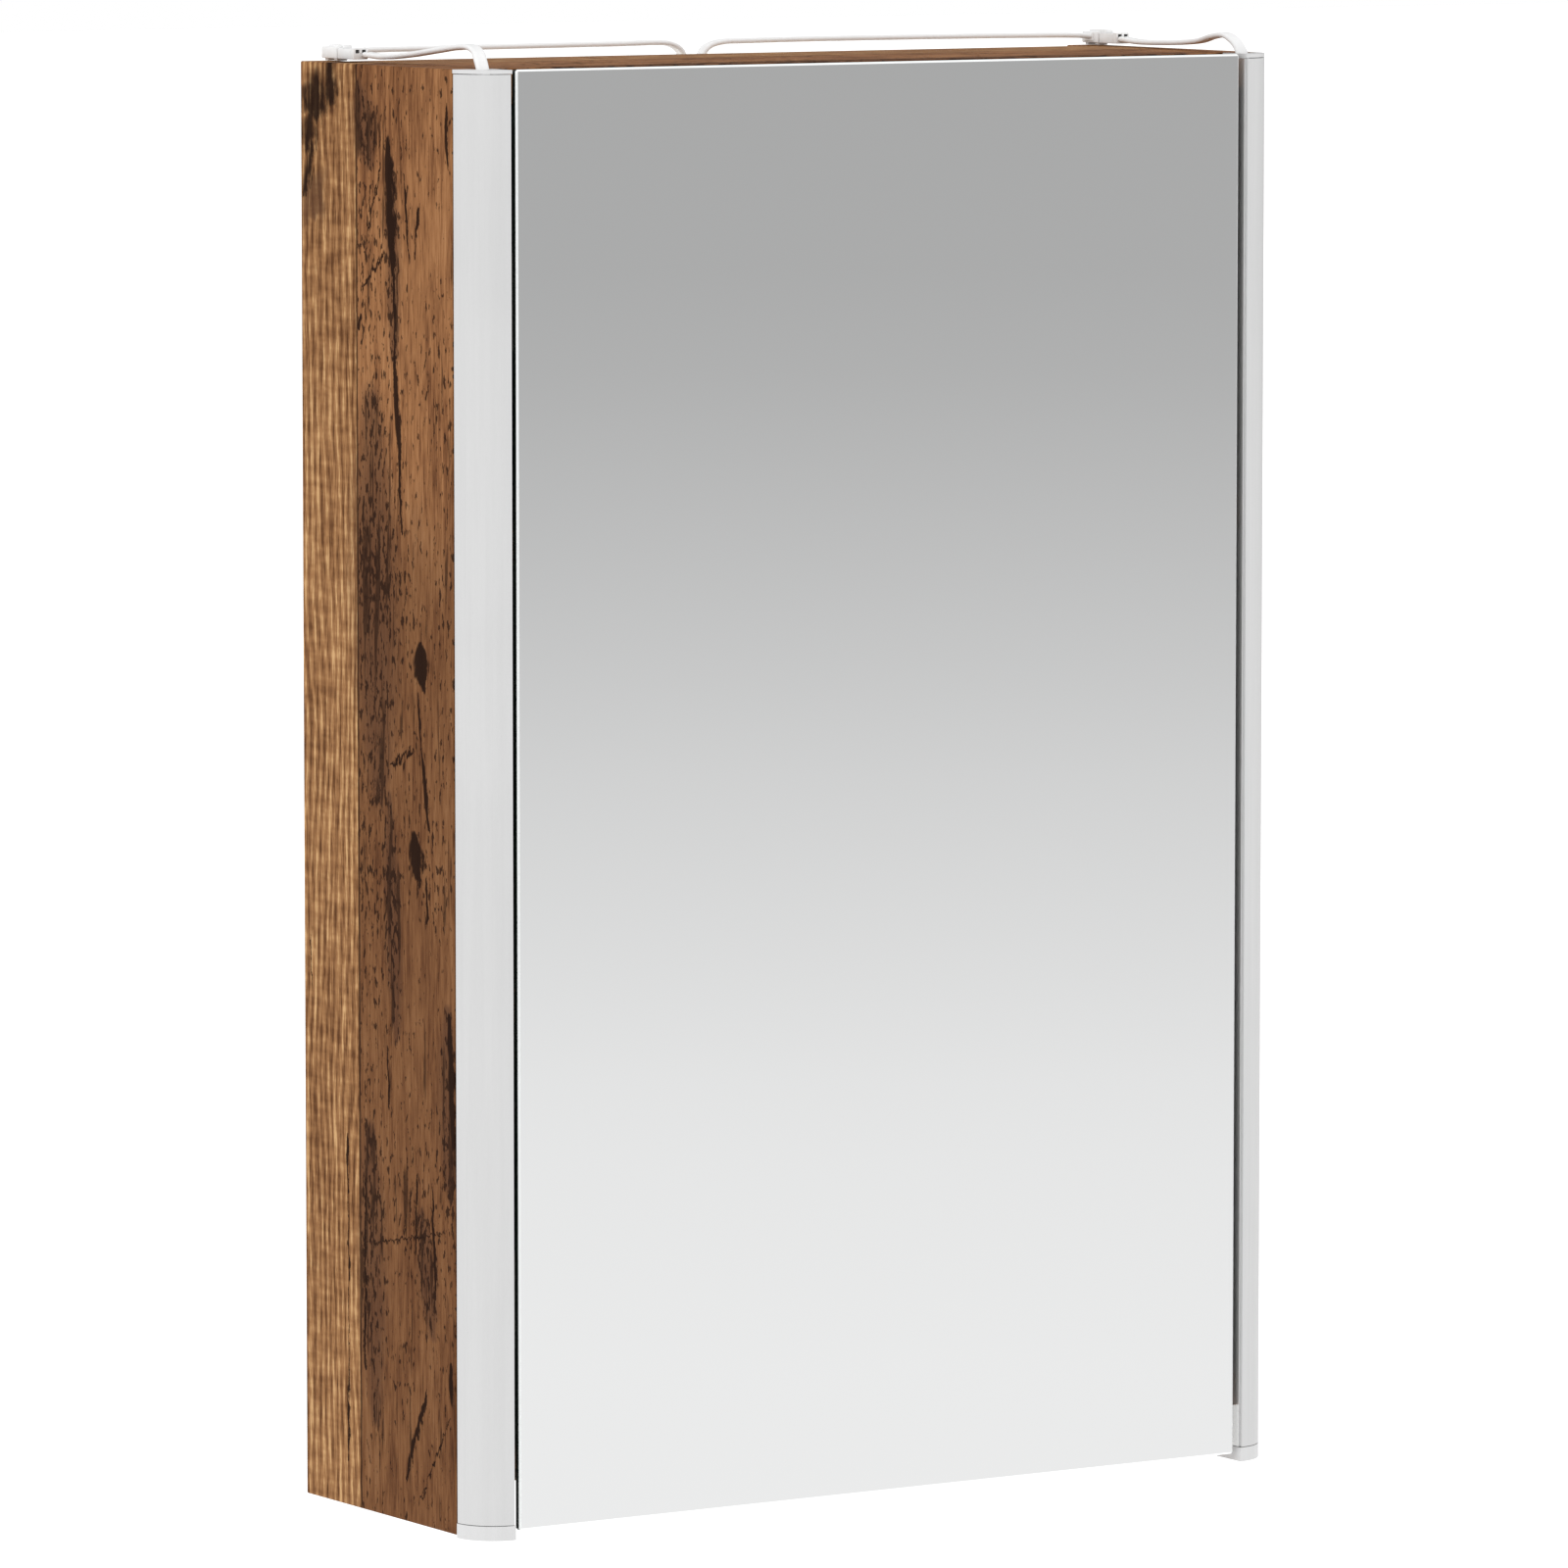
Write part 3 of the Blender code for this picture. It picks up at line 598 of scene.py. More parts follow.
def carve(item: bpy.types.Object, cutters: Iterable[bpy.types.Object]) -> bpy.types.Object:
    """Cut shapes out of an object and apply the cuts."""
    cutters = list(cutters)
    for cutter in cutters:
        cut = item.modifiers.new("cut", "BOOLEAN")
        cut.operation = "DIFFERENCE"
        cut.object = cutter
        cut.solver = "EXACT"
    material = item.data.materials[0] if item.data.materials else None
    result = bpy.data.meshes.new_from_object(item.evaluated_get(bpy.context.evaluated_depsgraph_get()))
    item.modifiers.clear()
    item.data = result
    if material is not None:
        result.materials.clear()
        result.materials.append(material)
    for cutter in cutters:
        bpy.data.objects.remove(cutter, do_unlink=True)
    return item


class SpreadTree:
    """A Geometry Nodes tree that puts a template on every point of a mesh, turned along the point's axis."""

    def __init__(self) -> None:
        """Build the tree once."""
        tree = bpy.data.node_groups.new("spread_template", "GeometryNodeTree")
        self.tree = tree
        inputs = (("Geometry", "NodeSocketGeometry"), ("Template", "NodeSocketObject"),
                  ("Size", "NodeSocketFloat"), ("Finish", "NodeSocketMaterial"))
        self.keys = {}
        for name, kind in inputs:
            self.keys[name] = tree.interface.new_socket(name, in_out="INPUT", socket_type=kind).identifier
        tree.interface.new_socket("Geometry", in_out="OUTPUT", socket_type="NodeSocketGeometry")
        source = tree.nodes.new("NodeGroupInput")
        target = tree.nodes.new("NodeGroupOutput")
        template = tree.nodes.new("GeometryNodeObjectInfo")
        direction = tree.nodes.new("GeometryNodeInputNamedAttribute")
        direction.data_type = "FLOAT_VECTOR"
        direction.inputs["Name"].default_value = "axis"
        turn = tree.nodes.new("FunctionNodeAlignRotationToVector")
        turn.axis = "Z"
        spread = tree.nodes.new("GeometryNodeInstanceOnPoints")
        realize = tree.nodes.new("GeometryNodeRealizeInstances")
        finish = tree.nodes.new("GeometryNodeSetMaterial")
        links = (
            (source.outputs["Template"], template.inputs["Object"]),
            (source.outputs["Geometry"], spread.inputs["Points"]),
            (template.outputs["Geometry"], spread.inputs["Instance"]),
            (direction.outputs[0], turn.inputs["Vector"]),
            (turn.outputs[0], spread.inputs["Rotation"]),
            (source.outputs["Size"], spread.inputs["Scale"]),
            (spread.outputs[0], realize.inputs[0]),
            (realize.outputs[0], finish.inputs["Geometry"]),
            (source.outputs["Finish"], finish.inputs["Material"]),
            (finish.outputs[0], target.inputs[0]),
        )
        for start, end in links:
            tree.links.new(start, end)

    def spread(self, name: str, template: bpy.types.Mesh, places: Sequence[tuple[Point, Point]],
               material: bpy.types.Material, size: float = 1.0) -> bpy.types.Object:
        """Make one plain mesh of a template repeated at places.

        Args:
            name: the piece's name.
            template: the repeated mesh, standing along +Z from the origin.
            places: each copy's foot and direction.
            material: its finish.
            size: scale of each copy.

        Returns:
            The finished piece.
        """
        points = bpy.data.meshes.new(name + "_points")
        points.from_pydata([place for place, _ in places], [], [])
        axes = points.attributes.new("axis", "FLOAT_VECTOR", "POINT")
        for entry, (_, axis) in zip(axes.data, places):
            entry.vector = axis
        pattern = new_object(name + "_template", template)
        carrier = new_object(name + "_carrier", points)
        modifier = carrier.modifiers.new("spread", "NODES")
        modifier.node_group = self.tree
        modifier[self.keys["Template"]] = pattern
        modifier[self.keys["Size"]] = size
        modifier[self.keys["Finish"]] = material
        carrier.update_tag()
        evaluated = carrier.evaluated_get(bpy.context.evaluated_depsgraph_get())
        mesh = bpy.data.meshes.new_from_object(evaluated)
        mesh.name = name
        for spent in (carrier, pattern):
            bpy.data.objects.remove(spent, do_unlink=True)
        return new_object(name, mesh, material)


def screw_template(head: float, dome: float) -> bpy.types.Mesh:
    """A cross-recessed screw head on a short shank.

    Args:
        head: radius of the head.
        dome: height of the head.

    Returns:
        The mesh, with its seat at height 0.
    """
    shape = bmesh.new()
    rings = [(0, -1.0 * MM), (head * 0.42, -1.0 * MM), (head * 0.42, 0)]
    rings += [(head, 0), (head, dome * 0.18)]
    rings += [(head * math.cos(a), dome * (0.18 + 0.82 * math.sin(a)))
              for a in (math.radians(d) for d in (22, 45, 62, 76))]
    rings.append((0, dome))
    add_turned(shape, rings, (0, 0, 0), steps=20)
    item = new_object("screw_blank", settle(shape, "screw_blank"))
    cutters = []
    for turn in (0, 1):
        slot = bmesh.new()
        reach = (head * 0.62, head * 0.13)
        x, y = reach if turn == 0 else reach[::-1]
        add_block(slot, (-x, -y, dome * 0.35), (x, y, dome * 2), 0)
        cutters.append(new_object("recess", settle(slot, "recess")))
    carve(item, cutters)
    mesh = item.data
    bpy.data.objects.remove(item, do_unlink=True)
    return mesh


def smooth_route(points: Sequence[Point], station: float) -> list[Vector]:
    """Even stations on a smooth curve through route points given in millimetres."""
    knots = [Vector(p) * MM for p in points]
    knots = [2 * knots[0] - knots[1]] + knots + [2 * knots[-1] - knots[-2]]
    route: list[Vector] = []
    for before, start, end, after in zip(knots, knots[1:], knots[2:], knots[3:]):
        count = max(1, round((end - start).length / station))
        for i in range(count):
            t = i / count
            route.append(0.5 * (
                2 * start + (end - before) * t + (2 * before - 5 * start + 4 * end - after) * t ** 2
                + (3 * start - before - 3 * end + after) * t ** 3))
    return route + [knots[-2]]


# ---------------------------------------------------------------- sub-assemblies

@dataclass
class Finishes:
    """Every finish of the cabinet, made once."""

    made: dict[str, bpy.types.Material] = field(default_factory=dict)

    def get(self, finish: Any) -> bpy.types.Material:
        """The material of a finish, made on first use."""
        if finish.name not in self.made:
            self.made[finish.name] = finish.build()
        return self.made[finish.name]


STEEL = BrushedSteel("nickel_steel")
OPAL = Moulded("opal_diffuser", (0.575, 0.575, 0.575), 0.36, drawn=30)
LAMP_WHITE = Moulded("lamp_white", (0.62, 0.62, 0.62), 0.3, drawn=20)
CONNECTOR_WHITE = Moulded("connector_white", (0.90, 0.90, 0.90), 0.36)
LEAD_WHITE = Moulded("lead_white", (0.90, 0.90, 0.90), 0.42, scale=420)
DRIVER_WHITE = Moulded("driver_white", (0.78, 0.78, 0.77), 0.45)
CATCH_WHITE = Moulded("catch_white", (0.78, 0.78, 0.77), 0.4)
CLEAR = Moulded("clear_bumper", (0.72, 0.73, 0.73), 0.15, coat=0.4)
# painted shade: near-black colour for the blocks in the plug's test holes, standing for the shade inside the
# holes
HOLE_SHADE_DARK = Moulded("hole_shade_dark", (0.035, 0.033, 0.03), 0.5)
CHIP = Moulded("led_chip", (0.80, 0.66, 0.16), 0.25, coat=0.5)
BACK_BOARD = Fibreboard("back_board", (0.60, 0.57, 0.52), (0.52, 0.49, 0.44), (620.0, 620.0, 150.0))
BEECH = Fibreboard("dowel_beech", (0.60, 0.42, 0.24), (0.42, 0.27, 0.14), (30.0, 300.0, 300.0))


@dataclass
class Boards:
    """The carcass boards and the door's backing, dressed in the old wood print."""

    finishes: Finishes
    seam: float = -45.5
    left_strokes: tuple[Stroke, ...] = (
        ((-71, 570), (-75, 516), 4.2), ((-76, 525), (-76, 468), 1.1), ((-77, 474), (-80, 440), 2.6),
        ((-79, 448), (-81, 410), 1.3),
        ((-66, 560), (-52, 524), 0.6), ((-68, 524), (-50, 508), 0.9), ((-49, 497), (-47, 491), 1.8),
        ((-84, 556), (-88, 520), 0.8), ((-97, 545), (-92, 522), 1.1), ((-117, 586), (-119, 560), 1.2),
        ((-95.5, 364), (-98, 348), 6.2), ((-93, 345), (-97, 318), 0.9), ((-97, 320), (-102, 290), 1.5),
        ((-90, 321), (-72, 313), 1.1), ((-90, 285), (-94, 268), 6.0), ((-100, 270), (-101, 250), 0.9),
        ((-118, 214), (-121, 160), 2.8), ((-68, 196), (-69, 170), 0.7), ((-104, 142), (-106, 96), 1.2),
        ((-92, 146), (-90, 112), 0.8), ((-50, 112), (-115, 124), 0.5), ((-119, 70), (-120, 52), 2.2),
        ((-118, 48), (-92, 8), 0.6), ((-99, 56), (-82, 18), 2.0), ((-50, 140), (-49, 60), 0.9),
        ((-35, 156), (-35.5, 132), 0.9), ((-35.5, 132), (-35.5, 62), 0.4), ((-35.5, 62), (-35, 18), 1.0),
        ((-5, 236), (-6, 214), 0.35),
    )
    left_knots: tuple[Stroke, ...] = (
        ((-12, 592), (-12, 578), 18.0), ((-8, 577), (-5, 564), 10.0), ((-24, 602), (-25, 582), 8.0),
        ((-10, 566), (-3, 545), 4.5),
    )
    left_shades: tuple[Stroke, ...] = (
        ((-57, 462), (-62, 300), 19.0), ((-48, 590), (-56, 560), 10.0), ((-6, 548), (-16, 540), 14.0),
        ((-54, 160), (-58, 40), 11.0), ((-74, 560), (-76, 480), 6.0), ((-117, 215), (-119, 140), 9.0),
        ((-70, 300), (-76, 200), 7.0), ((-96, 130), (-104, 80), 7.0),
    )

    def random_strokes(self, seed: int, across: tuple[float, float], along: tuple[float, float],
                       count: int) -> tuple[Stroke, ...]:
        """Cracks and blots at random on a board, the same on each run."""
        draw = random.Random(seed)
        strokes = []
        for _ in range(count):
            start = (draw.uniform(*across), draw.uniform(*along))
            length = draw.uniform(8, 60)
            strokes.append((start, (start[0] + draw.uniform(-5, 5), start[1] + length),
                            draw.choice((0.5, 0.8, 1.2, 2.6))))
        return tuple(strokes)

    def dress(self) -> None:
        """Give each board its own cut of the print."""
        across, upright, lengthwise = (-120, -50), (20, 560), (-175, 150)
        prints = {
            "side_panel_left": OldWoodPrint("old_wood_left", Run.UPRIGHT, self.seam, True, 1, self.left_strokes,
                                            self.left_knots, self.left_shades, ("Y", -0.2),
                                            lower_tone=0.56),
            "side_panel_right": OldWoodPrint("old_wood_right", Run.UPRIGHT, -62, True, 7,
                                             self.random_strokes(4, across, upright, 12),
                                             (((-20, 210), (-26, 190), 10.0),),
                                             (((-80, 500), (-84, 380), 14.0),), ("Y", -0.2),
                                             lower_tone=0.75),
            "top_panel": OldWoodPrint("old_wood_top", Run.LENGTHWISE, -58, True, 12,
                                      self.random_strokes(5, (-118, -62), lengthwise, 7), (),
                                      (((-120, -150), (-120, 160), 12.0),), ("Y", -13.2), face=600),
            "bottom_panel": OldWoodPrint("old_wood_bottom", Run.LENGTHWISE, -70, True, 15,
                                         self.random_strokes(6, (-118, -74), lengthwise, 6), (), (),
                                         ("Y", -13.2), face=35),
            "shelf_lower": OldWoodPrint("old_wood_shelf_lower", Run.LENGTHWISE, -60, False, 18,
                                        self.random_strokes(8, (-58, -28), lengthwise, 6), face=223.33),
            "shelf_upper": OldWoodPrint("old_wood_shelf_upper", Run.LENGTHWISE, -80, False, 23,
                                        self.random_strokes(9, (-78, -28), lengthwise, 6), face=411.67),
            "door_backing": OldWoodPrint("old_wood_backing", Run.UPRIGHT_WIDE, 20, True, 27,
                                         self.random_strokes(10, (-150, 10), upright, 12),
                                         (((90, 400), (96, 380), 12.0),)),
        }
        for node, finish in prints.items():
            dress(node, self.finishes.get(finish))


def dress(node: str, material: bpy.types.Material) -> None:
    """Give a carried-over CAD node its finish."""
    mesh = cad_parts[node].data
    if not mesh.materials:
        mesh.materials.append(material)
    for index in range(len(mesh.materials)):
        mesh.materials[index] = material
    LOG.info("dressed %s", node)


def keep(piece: bpy.types.Object, body: str, slot: str, *replaced: str) -> bpy.types.Object:
    """Ride a finished piece on its body and hide the CAD nodes it replaces."""
    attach(piece, body)
    if replaced:
        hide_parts(*replaced)
    LOG.info("made %s, %d faces", piece.name, len(piece.data.polygons))
    return piece


@dataclass
class Lamps:
    """The upright lamps: opal shells, white bases, caps with their seams, boards and light chips."""

    finishes: Finishes
    spreader: SpreadTree
    pitch: float = 16 * MM
    chip: Point = (2.8 * MM, 3.5 * MM, 0.7 * MM)

    def build(self) -> None:
        """Dress both lamps and fit their chips."""
        for side in SIDES:
            dress(f"lamp_diffuser_{side}", self.finishes.get(OPAL))
            dress(f"lamp_base_{side}", self.finishes.get(BrightProfile("lamp_profile")))
            for part in ("cap_top", "cap_bottom"):
                dress(f"lamp_{part}_{side}", self.finishes.get(LAMP_WHITE))
            dress(f"lamp_strip_{side}", self.finishes.get(LedBoard("led_board")))
            self.chips(side)

    def chips(self, side: str) -> None:
        """Put a light chip at every pitch along one board."""
        low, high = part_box(f"lamp_strip_{side}")
        middle = (low[0] + high[0]) / 2
        count = int((high[2] - low[2] - self.pitch) / self.pitch)
        start = (low[2] + high[2]) / 2 - self.pitch * (count - 1) / 2
        places = [((middle, low[1], start + i * self.pitch), (0, -1, 0)) for i in range(count)]
        shape = bmesh.new()
        x, y, z = self.chip
        add_block(shape, (-x / 2, -y / 2, 0), (x / 2, y / 2, z), 0.15 * MM, 1)
        template = settle(shape, "chip")
        piece = self.spreader.spread(f"lamp_chips_{side}", template, places, self.finishes.get(CHIP))
        keep(piece, CARCASS, "led_board")


@dataclass
class Leads:
    """The flat two-core leads."""

    finishes: Finishes
    width: float = 5.8 * MM
    thick: float = 2.2 * MM
    station: float = 1.6 * MM
    neck: float = 0.62
    steps: int = 7

    def section(self) -> list[tuple[float, float]]:
        """Outline of two cores side by side with a shallow valley between them."""
        radius = self.thick / 2
        centre = self.width / 2 - radius
        valley = math.asin(min(1.0, self.neck))
        right = []
        for i in range(self.steps):
            angle = -math.pi / 2 + math.pi * i / (self.steps - 1)
            right.append((centre + radius * math.cos(angle), radius * math.sin(angle)))
        shoulder = (centre * 0.45, radius * 0.97)
        top = [shoulder, (0, radius * math.cos(valley) * 1.02), (-shoulder[0], shoulder[1])]
        left = [(-x, -y) for x, y in right]
        bottom = [(-x, -y) for x, y in top]
        return right + top + left + bottom

    def lead(self, name: str, points: Sequence[Point], across: Point) -> None:
        route = smooth_route(points, self.station)
        outline = self.section()
        shape = bmesh.new()
        rings = []
        for i, point in enumerate(route):
            along = (route[min(i + 1, len(route) - 1)] - route[max(i - 1, 0)]).normalized()
            wide = (Vector(across) - along * along.dot(Vector(across))).normalized()
            flat = along.cross(wide)
            rings.append([shape.verts.new(point + wide * u + flat * v) for u, v in outline])
        for first, second in zip(rings, rings[1:]):
            for k in range(len(outline)):
                n = (k + 1) % len(outline)
                shape.faces.new((first[k], first[n], second[n], second[k]))
        shape.faces.new(list(reversed(rings[0])))
        shape.faces.new(rings[-1])
        piece = new_object(f"{name}_flex", settle(shape, name, 50), self.finishes.get(LEAD_WHITE))
        keep(piece, CARCASS, "lead_white", name)
        length = sum((b - a).length for a, b in zip(route, route[1:]))
        LOG.info("lead %s is %.0f mm long", name, length / MM)

    def build(self) -> None:
        """Make all four leads."""
        for side in SIDES:
            self.lead(f"lamp_lead_{side}", LAMP_LEAD_POINTS[side], (1, 0, 0))
            self.lead(f"supply_lead_{side}", SUPPLY_LEAD_POINTS[side], (0, 1, 0))


@dataclass
class Connectors:
    """The two-pole connectors: a plug with its latch in a socket, on two small feet."""

    finishes: Finishes
    foot_rise: float = 0.9 * MM
    foot_inset: float = 1 * MM
    foot_sink: float = 0.3 * MM
    collar_rear: float = -5.9 * MM
    collar_front: float = -12.9 * MM
    collar_out: float = 0.6 * MM
    face_depth: float = 2.8 * MM
    slit: float = 0.4 * MM
    latch_inset: float = 1.6 * MM
    hole_offset: float = 1.55 * MM
    hole_half: tuple[float, float] = (1.0 * MM, 0.75 * MM)
    hole_rise: float = 3.3 * MM

    def build(self) -> None:
        """Make both connectors."""
        for side in SIDES:
            self.socket(side)
            self.plug(side)

    def socket(self, side: str) -> None:
        """The rear half, with a raised keeper and a side collar for the supply lead."""
        low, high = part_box(f"connector_socket_{side}")
        shape = bmesh.new()
        foot = low[2] + self.foot_rise
        add_block(shape, (low[0], low[1], foot), (high[0], high[1], high[2] - 0.9 * MM), 0.45 * MM)
        add_block(shape, (low[0] + 1.2 * MM, low[1], high[2] - 1.5 * MM),
                  (high[0] - 1.2 * MM, high[1] - 4 * MM, high[2]), 0.3 * MM)
        for y in (low[1] + 2.5 * MM, high[1] - 2.5 * MM):
            add_block(shape, (low[0] + self.foot_inset, y - 1.2 * MM, low[2]),
                      (high[0] - self.foot_inset, y + 1.2 * MM, foot + self.foot_sink),
                      0.2 * MM, 1)
        inner = high[0] if side == "left" else low[0]
        add_block(shape, (inner - self.collar_out, self.collar_front, foot + 0.6 * MM),
                  (inner + self.collar_out, self.collar_rear, foot + 4.6 * MM),
                  0.4 * MM)
        white = self.finishes.get(CONNECTOR_WHITE)
        piece = new_object(f"socket_housing_{side}", settle(shape, "socket"), white)
        keep(piece, CARCASS, "connector_white", f"connector_socket_{side}")

    def plug(self, side: str) -> None:
        """The front half, with two test holes in its face, a collar slit and a sprung latch."""
        low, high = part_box(f"connector_plug_{side}")
        foot = low[2] + self.foot_rise
        top = high[2] - 1.3 * MM
        shape = bmesh.new()
        add_block(shape, (low[0] + 0.3 * MM, low[1] + self.face_depth + self.slit, foot),
                  (high[0] - 0.3 * MM, high[1], top), 0.4 * MM)
        add_block(shape, (low[0], low[1], foot), (high[0], low[1] + self.face_depth, top + 0.3 * MM), 0.35 * MM)
        add_block(shape, (low[0] + 1.8 * MM, low[1] + 2.4 * MM, foot + 1 * MM),
                  (high[0] - 1.8 * MM, low[1] + 3.6 * MM, top - 1 * MM), 0)
        add_block(shape, (low[0] + self.latch_inset, low[1] + 1.4 * MM, top - 0.1 * MM),
                  (high[0] - self.latch_inset, high[1] + 1.6 * MM, top + 0.7 * MM), 0.25 * MM)
        add_block(shape, (low[0] + self.latch_inset, high[1] - 3.4 * MM, top),
                  (high[0] - self.latch_inset, high[1] - 1.8 * MM, high[2]),
                  0.25 * MM)
        for y in (low[1] + 1.4 * MM, high[1] - 2.5 * MM):
            add_block(shape, (low[0] + self.foot_inset, y - 1.0 * MM, low[2]),
                      (high[0] - self.foot_inset, y + 1.0 * MM, foot + self.foot_sink),
                      0.2 * MM, 1)
        item = new_object(f"plug_housing_{side}", settle(shape, "plug"), self.finishes.get(CONNECTOR_WHITE))
        middle = (low[0] + high[0]) / 2
        cutters = []
        holes = []
        for offset in (-self.hole_offset, self.hole_offset):
            x = middle + offset
            z = foot + self.hole_rise
            cut = bmesh.new()
            add_block(cut, (x - self.hole_half[0], low[1] - 1 * MM, z - self.hole_half[1]),
                      (x + self.hole_half[0], low[1] + 2.2 * MM, z + self.hole_half[1]), 0)
            cutters.append(new_object("cut", settle(cut, "cut")))
            holes.append((x, z))
        carve(item, cutters)
        item.data.shade_smooth()
        item.data.set_sharp_from_angle(angle=math.radians(35))
        keep(item, CARCASS, "connector_white", f"connector_plug_{side}")
        # painted shade: near-black blocks fill the test holes just behind the face, standing for the shade deep
        # inside them
        hole_shade_blocks = bmesh.new()
        for x, z in holes:
            add_block(hole_shade_blocks, (x - 0.95 * MM, low[1] + 0.6 * MM, z - 0.7 * MM),
                      (x + 0.95 * MM, low[1] + 2.15 * MM, z + 0.7 * MM), 0.1 * MM, 1)
        dark = new_object(f"plug_contacts_{side}", settle(hole_shade_blocks, "hole_shade_blocks"), self.finishes.get(HOLE_SHADE_DARK))
        keep(dark, CARCASS, "connector_white")


@dataclass
class Driver:
    """The LED driver: a two-part case with ribs, cable collars, a mains terminal cover and mounting ears."""

    finishes: Finishes
    spreader: SpreadTree
    ribs: int = 9
    rib_rise: float = 0.7 * MM
    rib_step: float = 5 * MM
    rib_start: float = 22 * MM
    split_share: float = 0.42

    def build(self) -> None:
        """Make the case, its ribs and its collars."""
        low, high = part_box("led_driver")
        shape = bmesh.new()
        split = low[1] + self.split_share * (high[1] - low[1])
        add_block(shape, (low[0], low[1], low[2] + 6 * MM),
                  (high[0], split - 0.2 * MM, high[2] - 6 * MM), 1.4 * MM, 3)
        add_block(shape, (low[0] + 0.5 * MM, split - 1 * MM, low[2] + 6.5 * MM),
                  (high[0] - 0.5 * MM, high[1] - self.rib_rise, high[2] - 6.5 * MM), 1.8 * MM, 4)
        add_block(shape, (low[0] + 6 * MM, low[1], low[2]),
                  (high[0] - 6 * MM, low[1] + 2.4 * MM, high[2] - 1.4 * MM), 0.6 * MM)
        add_block(shape, (low[0] + 4 * MM, low[1] + 2 * MM, low[2] + 2 * MM),
                  (high[0] - 4 * MM, high[1] - 1.6 * MM, low[2] + 24 * MM), 0.8 * MM)
        for side in SIDES:
            x, y, z = (v * MM for v in SUPPLY_LEAD_POINTS[side][-1])
            add_block(shape, (x - 2.2 * MM, y - 4.2 * MM, high[2] - 7 * MM),
                      (x + 2.2 * MM, y + 4.2 * MM, high[2]), 0.5 * MM)
        case = new_object("driver_case", settle(shape, "driver"), self.finishes.get(DRIVER_WHITE))
        keep(case, CARCASS, "driver_white", "led_driver")
        rib = bmesh.new()
        reach = (high[0] - low[0]) * 0.34
        add_block(rib, (-reach, -0.7 * MM, -0.3 * MM), (reach, 0.7 * MM, 0.55 * MM), 0.3 * MM, 2)
        base = high[2] - self.rib_start
        middle = (low[0] + high[0]) / 2
        places = [((middle, high[1] - self.rib_rise, base - i * self.rib_step), (0, 1, 0))
                  for i in range(self.ribs)]
        white = self.finishes.get(DRIVER_WHITE)
        piece = self.spreader.spread("driver_ribs", settle(rib, "rib"), places, white)
        keep(piece, CARCASS, "driver_white")


@dataclass
class Catch:
    """The magnetic catch: a moulded case with side ears and two steel pole plates facing the door."""

    finishes: Finishes
    ear_reach: float = 6 * MM
    ear_thick: float = 3 * MM
    groove_heights: tuple[float, ...] = (6 * MM, 9 * MM, 12 * MM)
    pole_inset: float = 5.2 * MM

    def build(self) -> None:
        """Make the case and its pole plates."""
        low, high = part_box("magnet_catch")
        case_low, case_high = low[0] + self.ear_reach, high[0] - self.ear_reach
        shape = bmesh.new()
        add_block(shape, (case_low, low[1] + 0.8 * MM, low[2]), (case_high, high[1], high[2]), 1.2 * MM, 3)
        add_block(shape, (low[0], low[1] + 7 * MM, high[2] - self.ear_thick),
                  (high[0], high[1] - 4 * MM, high[2]), 0.8 * MM)
        for offset in self.groove_heights:
            z = low[2] + offset
            add_block(shape, (case_low - 0.35 * MM, low[1] + 5 * MM, z - 0.5 * MM),
                      (case_high + 0.35 * MM, high[1] - 3 * MM, z + 0.5 * MM), 0.25 * MM, 1)
        case = new_object("catch_case", settle(shape, "catch"), self.finishes.get(CATCH_WHITE))
        keep(case, CARCASS, "catch_white", "magnet_catch")
        plates = bmesh.new()
        for z in (low[2] + self.pole_inset, high[2] - self.pole_inset):
            add_block(plates, (case_low + 1.6 * MM, low[1], z - 0.8 * MM),
                      (case_high - 1.6 * MM, low[1] + 4 * MM, z + 0.8 * MM), 0.2 * MM, 2)
        poles = new_object("catch_poles", settle(plates, "poles"), self.finishes.get(STEEL))
        keep(poles, CARCASS, "nickel_steel")


